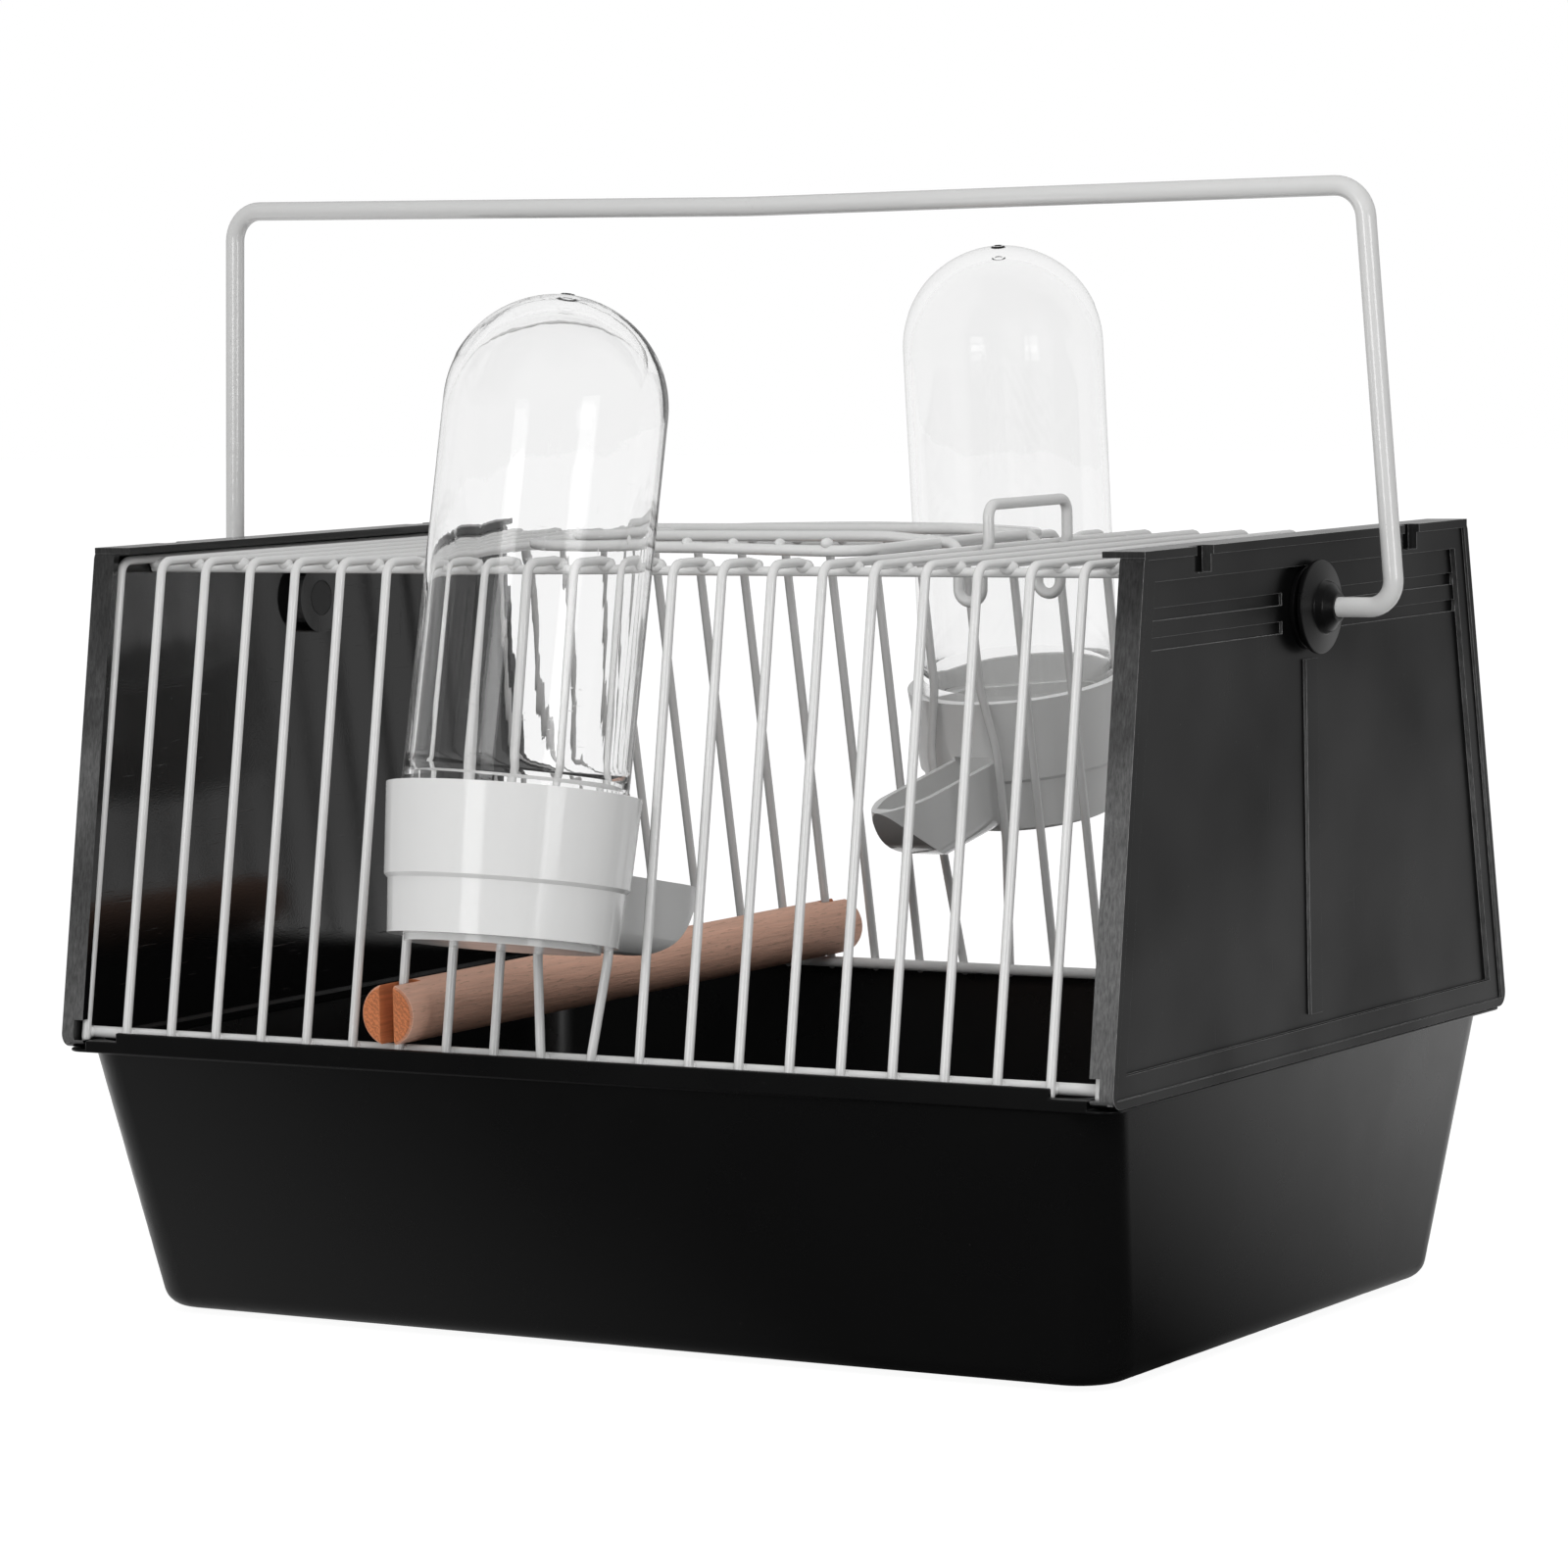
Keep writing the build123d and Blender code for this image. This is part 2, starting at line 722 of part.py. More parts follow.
# -------------------------------------------------------------------- perch
perch_z = rail_z + bottom_rail_radius + perch_gap + perch_radius
perch_x = wire_x(perch_wire)
with BuildPart() as perch:
    with BuildSketch(Plane(origin=(perch_x, -perch_half_length, perch_z), z_dir=(0, 1, 0))):
        Circle(perch_radius)
    extrude(amount=2 * perch_half_length)
    chamfer(perch.edges().filter_by(GeomType.CIRCLE), length=perch_edge)
    for side in (-1, 1):
        slot_middle = side * (perch_half_length - perch_slot_depth / 2)
        with Locations((perch_x, slot_middle, perch_z)):
            Box(perch_slot_width, perch_slot_depth, 2 * perch_radius + 1, mode=Mode.SUBTRACT)
save(perch, "perch")
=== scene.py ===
"""Looks of a bird travel carrier, laid out as an add-on and run as a script."""

import json
import math

import bmesh
import bpy
from bpy.props import FloatProperty, FloatVectorProperty, IntProperty, PointerProperty
from mathutils import Matrix, Vector

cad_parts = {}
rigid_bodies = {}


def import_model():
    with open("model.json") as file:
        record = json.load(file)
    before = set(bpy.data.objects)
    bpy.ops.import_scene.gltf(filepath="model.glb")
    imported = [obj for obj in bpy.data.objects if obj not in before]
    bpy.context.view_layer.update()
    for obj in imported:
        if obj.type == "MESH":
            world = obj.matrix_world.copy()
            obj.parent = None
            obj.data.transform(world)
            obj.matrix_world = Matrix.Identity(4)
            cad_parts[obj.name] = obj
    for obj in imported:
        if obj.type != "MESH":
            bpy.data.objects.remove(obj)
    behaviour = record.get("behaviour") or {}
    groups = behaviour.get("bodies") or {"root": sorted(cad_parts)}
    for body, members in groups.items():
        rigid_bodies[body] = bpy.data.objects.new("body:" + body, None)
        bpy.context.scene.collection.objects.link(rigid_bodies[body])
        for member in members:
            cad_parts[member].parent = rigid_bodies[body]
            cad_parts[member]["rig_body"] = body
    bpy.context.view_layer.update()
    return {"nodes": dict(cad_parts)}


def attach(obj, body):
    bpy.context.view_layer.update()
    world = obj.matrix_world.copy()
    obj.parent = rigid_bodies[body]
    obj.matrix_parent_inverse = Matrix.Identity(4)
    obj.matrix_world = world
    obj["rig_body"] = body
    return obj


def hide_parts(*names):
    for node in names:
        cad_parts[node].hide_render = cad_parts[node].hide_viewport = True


bl_info = {
    "name": "Bird travel carrier",
    "version": (1, 0, 0),
    "blender": (4, 5, 0),
    "location": "3D view > Sidebar > Carrier",
    "description": "Builds the looks of a wire-hooded bird travel carrier around its packed frame",
    "category": "Add Mesh",
}

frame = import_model()
MM = 0.001
TURNED_PLACE = "turned_place"
ROUNDED = "rounded_edge"

# Lines of the wire hood, in millimetres
WIRE_COUNT = 22
WIRE_PITCH = 12.0
END_WIRE_X = 125.0
RAIL_Z = 62.5
HOOD_RISE = 99.2
TOP_RAIL_Z = 161.98
ROOF_Z = 163.99
FOOT_HALF_DEPTH = 87.9
TOP_HALF_DEPTH = 70.7
SLOPE = (FOOT_HALF_DEPTH - TOP_HALF_DEPTH) / HOOD_RISE
WIRE_FOOT_DROP = 1.0
WIRE_BEND = 3.2
SPREAD_BEND = 30.0
FIRST_DOOR_WIRE = 6
LAST_DOOR_WIRE = 14
STUB_END_HALF_DEPTH = 56.5
STUB_DIP = 0.7
SPOUT_WIRES = {10: -2.7, 11: 2.7}
SPREAD_Z = {-1: 94.0, 1: 103.5}
SPREAD_HALF_HEIGHT = 10.5
SPREAD_EASE = 14.0
BOTTOM_RAIL_Y = 85.6
TOP_RAIL_Y = 57.8
STUB_TURN_OUT = 2.5
STUB_BEND = 2.0
LINE_STEP = 9.0
CORNER_CLEAR = 4.0
WANDER_SCALE = 14.0
# Welds, in millimetres: how far each lies off its rail, and its size as a share of the weld size
BOTTOM_WELD_OUT = 1.1
BOTTOM_WELD = (1.0, 0.75, 0.85)
TOP_WELD_UP = 0.9
TOP_WELD = (1.3, 1.2, 1.0)
UNTURNED = (0.0, 0.0, 0.0)

# How far the edges of the moulded pieces and the perch are rounded, in metres
TRAY_EDGE = 0.00035
PANEL_EDGE = 0.00040
BUSH_EDGE = 0.00025
CUP_EDGE = 0.00030
PERCH_EDGE = 0.00025


# ------------------------------------------------------------------ settings
def length(label, about, default):
    return FloatProperty(
        name=label, description=about, default=default, unit="LENGTH", min=0.0, precision=5
    )


def colour(label, about, default):
    return FloatVectorProperty(
        name=label, description=about, default=default, subtype="COLOR", size=3, min=0.0, max=1.0
    )


def share(label, about, default):
    return FloatProperty(name=label, description=about, default=default, subtype="FACTOR", min=0.0, max=1.0)


class CarrierHoodSettings(bpy.types.PropertyGroup):
    """Sizes and colours of the wire hood."""

    wire_radius: length("Wire radius", "Half the thickness of a coated hood wire", 0.001)
    waviness: length("Waviness", "How far a hood wire strays from its straight line", 0.00022)
    weld_size: length("Weld size", "Half the width of a weld between two wires", 0.00145)
    coat_colour: colour("Coat", "Colour of the hood's coating", (0.69, 0.69, 0.685))
    seed: IntProperty(name="Seed", description="Seed of the wires' small differences", default=7, min=0)


class CarrierHandleSettings(bpy.types.PropertyGroup):
    """Colours of the carry handle."""

    coat_colour: colour("Coat", "Colour of the handle's coating", (0.64, 0.64, 0.635))
    scuffs: share("Scuffs", "How much the handle's coating is scuffed", 0.35)


class CarrierPlasticSettings(bpy.types.PropertyGroup):
    """Colours of the moulded plastic pieces."""

    black: colour("Black", "Colour of the tray, the end panels and the bushes", (0.0042, 0.0042, 0.0043))
    white: colour("White", "Colour of the feeder cups", (0.74, 0.74, 0.735))
    clear: colour("Clear", "Tint of the feeder tubes", (0.948, 0.948, 0.948))
    wear: share("Wear", "How much the black plastic is scuffed", 0.4)


class CarrierPerchSettings(bpy.types.PropertyGroup):
    """Colours of the wooden perch."""

    side_colour: colour("Side", "Colour of the dowel's side", (0.88, 0.52, 0.385))
    end_colour: colour("End grain", "Colour of the dowel's cut ends", (0.66, 0.215, 0.08))
    grain_scale: FloatProperty(name="Grain", description="Streaks across the dowel", default=900.0, min=1.0)


class CarrierStageSettings(bpy.types.PropertyGroup):
    """Floor, lamps and camera."""

    floor_colour: colour("Floor", "Colour of the floor", (0.24, 0.24, 0.24))
    lamp_strength: FloatProperty(
        name="Lamps", description="Overall strength of the lamps", default=1.0, min=0.0
    )
    lens: FloatProperty(
        name="Lens", description="Focal length of the camera", default=132.47, min=1.0, unit="CAMERA"
    )


# -------------------------------------------------------------- node helpers
FLOAT = "NodeSocketFloat"
WHOLE = "NodeSocketInt"
VECTOR = "NodeSocketVector"
COLOUR = "NodeSocketColor"
MATERIAL = "NodeSocketMaterial"


def feed(tree, node, inputs):
    """Sets or links a node's inputs, by name or number."""
    for key, value in inputs.items():
        if isinstance(value, bpy.types.NodeSocket):
            tree.links.new(value, node.inputs[key])
        else:
            node.inputs[key].default_value = value


def add_node(tree, kind, inputs=None, **values):
    """Adds a node, sets its properties, and sets or links its inputs."""
    node = tree.nodes.new(kind)
    for name, value in values.items():
        setattr(node, name, value)
    feed(tree, node, inputs or {})
    return node


def math_node(tree, operation, first, second=0.0):
    return add_node(tree, "ShaderNodeMath", {0: first, 1: second}, operation=operation).outputs[0]


def vector_math(tree, operation, inputs):
    return add_node(tree, "ShaderNodeVectorMath", inputs, operation=operation)


def product(tree, first, *others):
    for other in others:
        first = math_node(tree, "MULTIPLY", first, other)
    return first


def spread_value(tree, value, low, high, to_low=0.0, to_high=1.0):
    """Maps value from low..high to to_low..to_high, held at both ends."""
    inputs = {"Value": value, "From Min": low, "From Max": high, "To Min": to_low, "To Max": to_high}
    return add_node(tree, "ShaderNodeMapRange", inputs).outputs[0]


def by_identifier(sockets, identifier):
    return next(s for s in sockets if s.identifier == identifier)


def mix(tree, kind, factor, first, second):
    """Mixes two values of one kind, Color or Float."""
    node = add_node(tree, "ShaderNodeMix", data_type="RGBA" if kind == "Color" else "FLOAT")
    order = [s.identifier for s in node.inputs]
    names = ("Factor_Float", f"A_{kind}", f"B_{kind}")
    feed(tree, node, {order.index(name): value for name, value in zip(names, (factor, first, second))})
    return by_identifier(node.outputs, f"Result_{kind}")


def opaque(value):
    """A colour with its alpha; a socket stays as it is."""
    return value if isinstance(value, bpy.types.NodeSocket) else (*value[:3], 1.0)


def mix_colour(tree, factor, first, second):
    return mix(tree, "Color", factor, opaque(first), opaque(second))


def noise(tree, vector, scale, detail, roughness=0.5):
    inputs = {"Vector": vector, "Scale": scale, "Detail": detail, "Roughness": roughness}
    return add_node(tree, "ShaderNodeTexNoise", inputs).outputs[0]


def drawn_noise(tree, vector, scales, detail, roughness=0.5, turn=(0.0, 0.0, 0.0)):
    """Noise with a scale of its own along each axis."""
    mapped = add_node(tree, "ShaderNodeMapping", {"Vector": vector, "Rotation": turn, "Scale": scales})
    return noise(tree, mapped.outputs[0], 1.0, detail, roughness)


def split(tree, vector):
    """The X, Y and Z of a vector."""
    return add_node(tree, "ShaderNodeSeparateXYZ", {0: vector}).outputs


def face_direction(tree):
    """The X, Y and Z of the direction that the face points in."""
    return split(tree, tree.nodes.new("ShaderNodeNewGeometry").outputs["True Normal"])


def new_group(kind, name, inputs, outputs):
    """A node group with named sockets; returns it with its two end nodes."""
    tree = bpy.data.node_groups.new(name, kind)
    for label, socket_type, default in inputs:
        item = tree.interface.new_socket(label, in_out="INPUT", socket_type=socket_type)
        if default is not None:
            item.default_value = default
    for label, socket_type in outputs:
        tree.interface.new_socket(label, in_out="OUTPUT", socket_type=socket_type)
    return tree, tree.nodes.new("NodeGroupInput"), tree.nodes.new("NodeGroupOutput")


# Scratches run three ways: a turn in radians, and a scale along each axis
SCRATCHES = ((0.35, (60.0, 900.0, 90.0)), (-0.6, (850.0, 70.0, 900.0)), (1.2, (120.0, 110.0, 1500.0)))


def scuff_group():
    """Scratches, handling marks and dust, as masks and a height."""
    tree, start, end = new_group(
        "ShaderNodeTree", "Scuffs",
        [("Vector", VECTOR, None), ("Scale", FLOAT, 1.0), ("Amount", FLOAT, 0.4)],
        [(label, FLOAT) for label in ("Scratches", "Patches", "Specks", "Height")],
    )
    amount = start.outputs["Amount"]
    scaled = {0: start.outputs["Vector"], "Scale": start.outputs["Scale"]}
    place = vector_math(tree, "SCALE", scaled).outputs[0]
    patches = noise(tree, place, 32.0, 5.0, 0.6)
    lines = []
    for turn, scales in SCRATCHES:
        streak = drawn_noise(tree, place, scales, 2.0, turn=(turn, turn * 0.7, turn))
        lines.append(spread_value(tree, streak, 0.69, 0.76))
    crossed = math_node(tree, "MAXIMUM", math_node(tree, "MAXIMUM", lines[0], lines[1]), lines[2])
    scratches = product(tree, crossed, spread_value(tree, patches, 0.42, 0.68), amount)
    dots = add_node(tree, "ShaderNodeTexVoronoi", {"Vector": place, "Scale": 420.0})
    near = spread_value(tree, dots.outputs["Distance"], 0.10, 0.05)
    chosen = spread_value(tree, dots.outputs["Color"], 0.80, 0.86)
    fine = noise(tree, place, 2600.0, 2.0)
    feed(tree, end, {
        "Scratches": scratches,
        "Patches": patches,
        "Specks": product(tree, near, chosen, amount),
        "Height": math_node(tree, "SUBTRACT", product(tree, fine, 0.12), scratches),
    })
    return tree


def coat_group():
    """The slightly uneven skin of dipped plastic coating."""
    tree, start, end = new_group(
        "ShaderNodeTree", "Dipped coat",
        [
            ("Vector", VECTOR, None),
            ("Colour", COLOUR, (0.7, 0.7, 0.7, 1.0)),
            ("Grime", COLOUR, (0.3, 0.28, 0.26, 1.0)),
            ("Amount", FLOAT, 0.3),
        ],
        [("Colour", COLOUR), ("Roughness", FLOAT), ("Height", FLOAT)],
    )
    vector = start.outputs["Vector"]
    lumps = noise(tree, vector, 260.0, 3.0)
    pits = noise(tree, vector, 1900.0, 2.0)
    rare = spread_value(tree, noise(tree, vector, 75.0, 6.0, 0.7), 0.60, 0.72)
    dirt = product(tree, rare, spread_value(tree, pits, 0.55, 0.70), start.outputs["Amount"])
    height = math_node(tree, "ADD", lumps, product(tree, pits, 0.10))
    feed(tree, end, {
        "Colour": mix_colour(tree, dirt, start.outputs["Colour"], start.outputs["Grime"]),
        "Roughness": spread_value(tree, lumps, 0.3, 0.7, 0.08, 0.15),
        "Height": math_node(tree, "SUBTRACT", height, dirt),
    })
    return tree


def new_material(name):
    """An empty node material; returns it, its tree, its shader and Object coordinates."""
    material = bpy.data.materials.new(name)
    material.use_nodes = True
    tree = material.node_tree
    shader = next(n for n in tree.nodes if n.type == "BSDF_PRINCIPLED")
    place = tree.nodes.new("ShaderNodeTexCoord").outputs["Object"]
    return material, tree, shader, place


def bump(tree, height, distance, strength):
    """The shading direction of a surface with small heights on it."""
    inputs = {"Height": height, "Distance": distance, "Strength": strength}
    return add_node(tree, "ShaderNodeBump", inputs).outputs[0]


made = {}


def shared(name, build):
    """A node group or material by name, built the first time it is asked for."""
    if name not in made:
        made[name] = build()
    return made[name]


def scuffs(tree, place, scale, amount):
    """The masks and height of the shared scuffs."""
    inputs = {"Vector": place, "Scale": scale, "Amount": amount}
    return add_node(tree, "ShaderNodeGroup", inputs, node_tree=shared("scuffs", scuff_group)).outputs


def marked_tone(tree, tone, *marks):
    """Lays marks over a tone, each given as (mask, strength, colour)."""
    for mask, strength, colour_of_mark in marks:
        tone = mix_colour(tree, product(tree, mask, strength), tone, colour_of_mark)
    return tone


# ----------------------------------------------------------------- materials
def black_tray_material():
    """Glossy black moulding with faint handling marks."""
    settings = bpy.context.scene.carrier_plastic
    material, tree, shader, place = new_material("black_gloss_plastic")
    marks = scuffs(tree, place, 1.0, settings.wear * 0.3)
    feed(tree, shader, {
        "Base Color": marked_tone(
            tree, settings.black,
            (marks["Scratches"], 0.2, (0.06, 0.06, 0.06)), (marks["Specks"], 0.5, (0.16, 0.155, 0.15)),
        ),
        "Roughness": spread_value(tree, marks["Patches"], 0.3, 0.7, 0.24, 0.34),
        "Specular IOR Level": 0.35,
        "Normal": bump(tree, marks["Height"], 0.00008, 0.5),
    })
    return material


def black_panel_material():
    """Black moulding, satin with scuffs outside and glossy inside, with a painted highlight on its rounded
    outer edges.
    """
    settings = bpy.context.scene.carrier_plastic
    material, tree, shader, place = new_material("black_panel_plastic")
    marks = scuffs(tree, place, 1.0, settings.wear * 0.6)
    axes = split(tree, place)
    direction = face_direction(tree)
    outward = product(tree, direction["X"], math_node(tree, "SIGN", axes["X"]))
    outside = spread_value(tree, outward, -0.2, 0.2)
    streaks = drawn_noise(tree, place, (2200.0, 2200.0, 300.0), 6.0, 0.65)
    handled = noise(tree, place, 30.0, 4.0)
    rubbed = product(
        tree,
        spread_value(tree, math_node(tree, "ABSOLUTE", direction["Y"]), 0.7, 0.9),
        spread_value(tree, streaks, 0.30, 0.70, 0.35, 0.85),
        spread_value(tree, handled, 0.36, 0.60, 0.45, 1.0),
        spread_value(tree, axes["Z"], 0.165, 0.125, 0.25, 1.0),
    )
    # Rounded edges on the outside get a painted highlight: a pale grey laid into the colour and broken up by
    # streaks, standing in for the lamps catching the bevels.
    rounded = add_node(tree, "ShaderNodeAttribute", attribute_name=ROUNDED).outputs["Fac"]
    painted_edge_highlight = product(tree, rounded, spread_value(tree, streaks, 0.30, 0.65, 0.45, 1.0))
    tone = marked_tone(
        tree, settings.black,
        (marks["Scratches"], 0.25, (0.08, 0.08, 0.08)),
        (rubbed, 0.9, (0.22, 0.22, 0.22)),
        (marks["Specks"], 0.6, (0.20, 0.195, 0.19)),
        # Painted edge highlight: pale grey on the rounded outer edges.
        (painted_edge_highlight, outside, (0.42, 0.42, 0.42)),
    )
    satin = spread_value(tree, marks["Patches"], 0.3, 0.7, 0.26, 0.36)
    gloss = spread_value(tree, marks["Patches"], 0.3, 0.7, 0.04, 0.10)
    dulled = spread_value(tree, noise(tree, place, 16.0, 2.0), 0.38, 0.62, 0.33, 0.43)
    feed(tree, shader, {
        "Base Color": tone,
        "Roughness": mix(tree, "Float", outside, gloss, satin),
        "Specular IOR Level": math_node(tree, "SUBTRACT", 0.55, product(tree, outside, dulled)),
        "Normal": bump(tree, marks["Height"], 0.00010, 0.6),
    })
    return material


def coated_material(name, coat, grime, amount):
    """Dipped plastic coating over steel wire."""
    material, tree, shader, place = new_material(name)
    inputs = {"Vector": place, "Colour": (*coat, 1.0), "Grime": (*grime, 1.0), "Amount": amount}
    skin = add_node(tree, "ShaderNodeGroup", inputs, node_tree=shared("coat", coat_group)).outputs
    feed(tree, shader, {
        "Base Color": skin["Colour"],
        "Roughness": skin["Roughness"],
        "Specular IOR Level": 0.9,
        "Normal": bump(tree, skin["Height"], 0.00012, 0.5),
    })
    return material


def hood_wire_material():
    settings = bpy.context.scene.carrier_hood
    return coated_material("white_wire_coat", settings.coat_colour, (0.34, 0.32, 0.28), 0.25)


def handle_wire_material():
    settings = bpy.context.scene.carrier_handle
    return coated_material("grey_wire_coat", settings.coat_colour, (0.20, 0.19, 0.18), settings.scuffs)


def clear_material():
    """Clear moulded plastic with faint lines drawn along its wall."""
    settings = bpy.context.scene.carrier_plastic
    material, tree, shader, _ = new_material("clear_plastic")
    place = add_node(tree, "ShaderNodeAttribute", attribute_name=TURNED_PLACE).outputs["Vector"]
    wall = drawn_noise(tree, place, (420.0, 420.0, 3.0), 2.0, 0.4)
    marks = scuffs(tree, place, 1.4, 0.3)
    height = math_node(tree, "ADD", wall, product(tree, marks["Height"], 0.1))
    feed(tree, shader, {
        "Base Color": (*settings.clear, 1.0),
        "Transmission Weight": 1.0,
        "IOR": 1.30,
        "Roughness": spread_value(tree, marks["Scratches"], 0.0, 0.2, 0.0, 0.22),
        "Normal": bump(tree, height, 0.00010, 0.16),
    })
    return material


def white_cup_material():
    """White satin moulding."""
    settings = bpy.context.scene.carrier_plastic
    material, tree, shader, place = new_material("white_plastic")
    marks = scuffs(tree, place, 1.2, 0.25)
    feed(tree, shader, {
        "Base Color": marked_tone(
            tree, settings.white,
            (marks["Specks"], 0.6, (0.42, 0.40, 0.37)), (marks["Scratches"], 0.2, (0.55, 0.54, 0.52)),
        ),
        "Roughness": spread_value(tree, marks["Patches"], 0.3, 0.7, 0.07, 0.13),
        "Subsurface Weight": 0.5,
        "Subsurface Radius": (0.005, 0.005, 0.005),
        "Normal": bump(tree, marks["Height"], 0.00006, 0.5),
    })
    return material


# The perch's slots, in millimetres
PERCH_X = -42.0
PERCH_SLOT_HALF = 1.85
PERCH_SLOT_Y = 81.8


def wood_material():
    """Turned hardwood dowel: long streaks on its side, rings on its cut ends, the ends' tone in its slots."""
    settings = bpy.context.scene.carrier_perch
    material, tree, shader, place = new_material("perch_wood")
    scale = settings.grain_scale
    streaks = drawn_noise(tree, place, (scale, 45.0, scale), 6.0, 0.62)
    flecks = drawn_noise(tree, place, (2600.0, 260.0, 2600.0), 3.0)
    flattened = add_node(
        tree, "ShaderNodeMapping",
        {"Vector": place, "Location": (0.060, 0.0, -0.052), "Scale": (1.0, 0.0, 1.0)},
    )
    rings = add_node(
        tree, "ShaderNodeTexWave",
        {
            "Vector": flattened.outputs[0], "Scale": 330.0,
            "Distortion": 9.0, "Detail": 4.0, "Detail Scale": 3.0,
        },
        wave_type="RINGS", rings_direction="Y",
    )
    side_dark = tuple(c * 0.84 for c in settings.side_colour)
    end_dark = tuple(c * 0.70 for c in settings.end_colour)
    end_bright = tuple(c * 1.05 for c in settings.end_colour)
    side = mix_colour(tree, spread_value(tree, streaks, 0.35, 0.68), side_dark, settings.side_colour)
    side = marked_tone(tree, side, (spread_value(tree, flecks, 0.60, 0.68), 0.35, (0.22, 0.11, 0.06)))
    pores = noise(tree, place, 2600.0, 2.0)
    end = mix_colour(tree, spread_value(tree, rings.outputs[0], 0.1, 0.9), settings.end_colour, end_dark)
    end = marked_tone(tree, end, (spread_value(tree, pores, 0.58, 0.68), 0.6, (0.22, 0.07, 0.03)))
    cut = spread_value(tree, math_node(tree, "ABSOLUTE", face_direction(tree)["Y"]), 0.55, 0.8)
    axes = split(tree, place)
    off_axis = math_node(tree, "ABSOLUTE", math_node(tree, "SUBTRACT", axes["X"], PERCH_X * MM))
    in_slot = math_node(tree, "LESS_THAN", off_axis, PERCH_SLOT_HALF * MM)
    at_end = math_node(tree, "GREATER_THAN", math_node(tree, "ABSOLUTE", axes["Y"]), PERCH_SLOT_Y * MM)
    sawn = mix_colour(tree, spread_value(tree, streaks, 0.35, 0.65), end_dark, end_bright)
    outer = mix_colour(tree, cut, side, end)
    height = math_node(tree, "ADD", streaks, product(tree, flecks, 0.5))
    feed(tree, shader, {
        "Base Color": mix_colour(tree, product(tree, in_slot, at_end), outer, sawn),
        "Roughness": 0.62,
        "Normal": bump(tree, height, 0.00025, 0.8),
    })
    return material


def dress(names, material):
    """Gives CAD nodes a material in every slot."""
    for name in names:
        slots = frame["nodes"][name].data.materials
        if not slots:
            slots.append(material)
        for index in range(len(slots)):
            slots[index] = material


# ------------------------------------------------------------ geometry nodes
def new_geometry_tree(name, inputs):
    geometry = ("Geometry", "NodeSocketGeometry")
    return new_group("GeometryNodeTree", name, [(*geometry, None), *inputs], [geometry])


def named(tree, name, kind):
    return add_node(tree, "GeometryNodeInputNamedAttribute", {"Name": name}, data_type=kind).outputs[0]


def wire_tree():
    """Bends a polyline into wire: rounded corners, a slight wander, round section, rounded ends."""
    tree, start, end = new_geometry_tree(
        "Bent wire",
        [
            ("Radius", FLOAT, 0.001),
            ("Wander", FLOAT, 0.0),
            ("Wander Scale", FLOAT, 18.0),
            ("Seed", FLOAT, 0.0),
            ("Bend Steps", WHOLE, 8),
            ("Sides", WHOLE, 14),
            ("Material", MATERIAL, None),
        ],
    )
    given = start.outputs
    line = add_node(tree, "GeometryNodeMeshToCurve", {0: given["Geometry"]})
    bend = add_node(
        tree, "GeometryNodeFilletCurve",
        {
            "Curve": line.outputs[0], "Radius": named(tree, "bend", "FLOAT"),
            "Count": given["Bend Steps"], "Limit Radius": True,
        },
        mode="POLY",
    )
    place = add_node(tree, "GeometryNodeInputPosition").outputs[0]
    drift = add_node(
        tree, "ShaderNodeTexNoise",
        {"Vector": place, "W": given["Seed"], "Scale": given["Wander Scale"], "Detail": 1.0},
        noise_dimensions="4D",
    )
    centred = vector_math(tree, "SUBTRACT", {0: drift.outputs["Color"], 1: (0.5, 0.5, 0.5)})
    offset = vector_math(tree, "SCALE", {0: centred.outputs[0], "Scale": given["Wander"]})
    moved = add_node(
        tree, "GeometryNodeSetPosition", {"Geometry": bend.outputs[0], "Offset": offset.outputs[0]}
    )
    section = add_node(
        tree, "GeometryNodeCurvePrimitiveCircle", {"Resolution": given["Sides"], "Radius": given["Radius"]}
    )
    body = add_node(
        tree, "GeometryNodeCurveToMesh",
        {"Curve": moved.outputs[0], "Profile Curve": section.outputs[0], "Fill Caps": True},
    )
    ends = add_node(tree, "GeometryNodeCurveEndpointSelection", {"Start Size": 1, "End Size": 1})
    ball = add_node(
        tree, "GeometryNodeMeshUVSphere", {"Segments": given["Sides"], "Rings": 8, "Radius": given["Radius"]}
    )
    tips = add_node(
        tree, "GeometryNodeInstanceOnPoints",
        {"Points": moved.outputs[0], "Selection": ends.outputs[0], "Instance": ball.outputs[0]},
    )
    both = add_node(tree, "GeometryNodeJoinGeometry")
    tree.links.new(tips.outputs[0], both.inputs[0])
    tree.links.new(body.outputs[0], both.inputs[0])
    finish_tree(tree, both.outputs[0], given["Material"], end)
    return tree


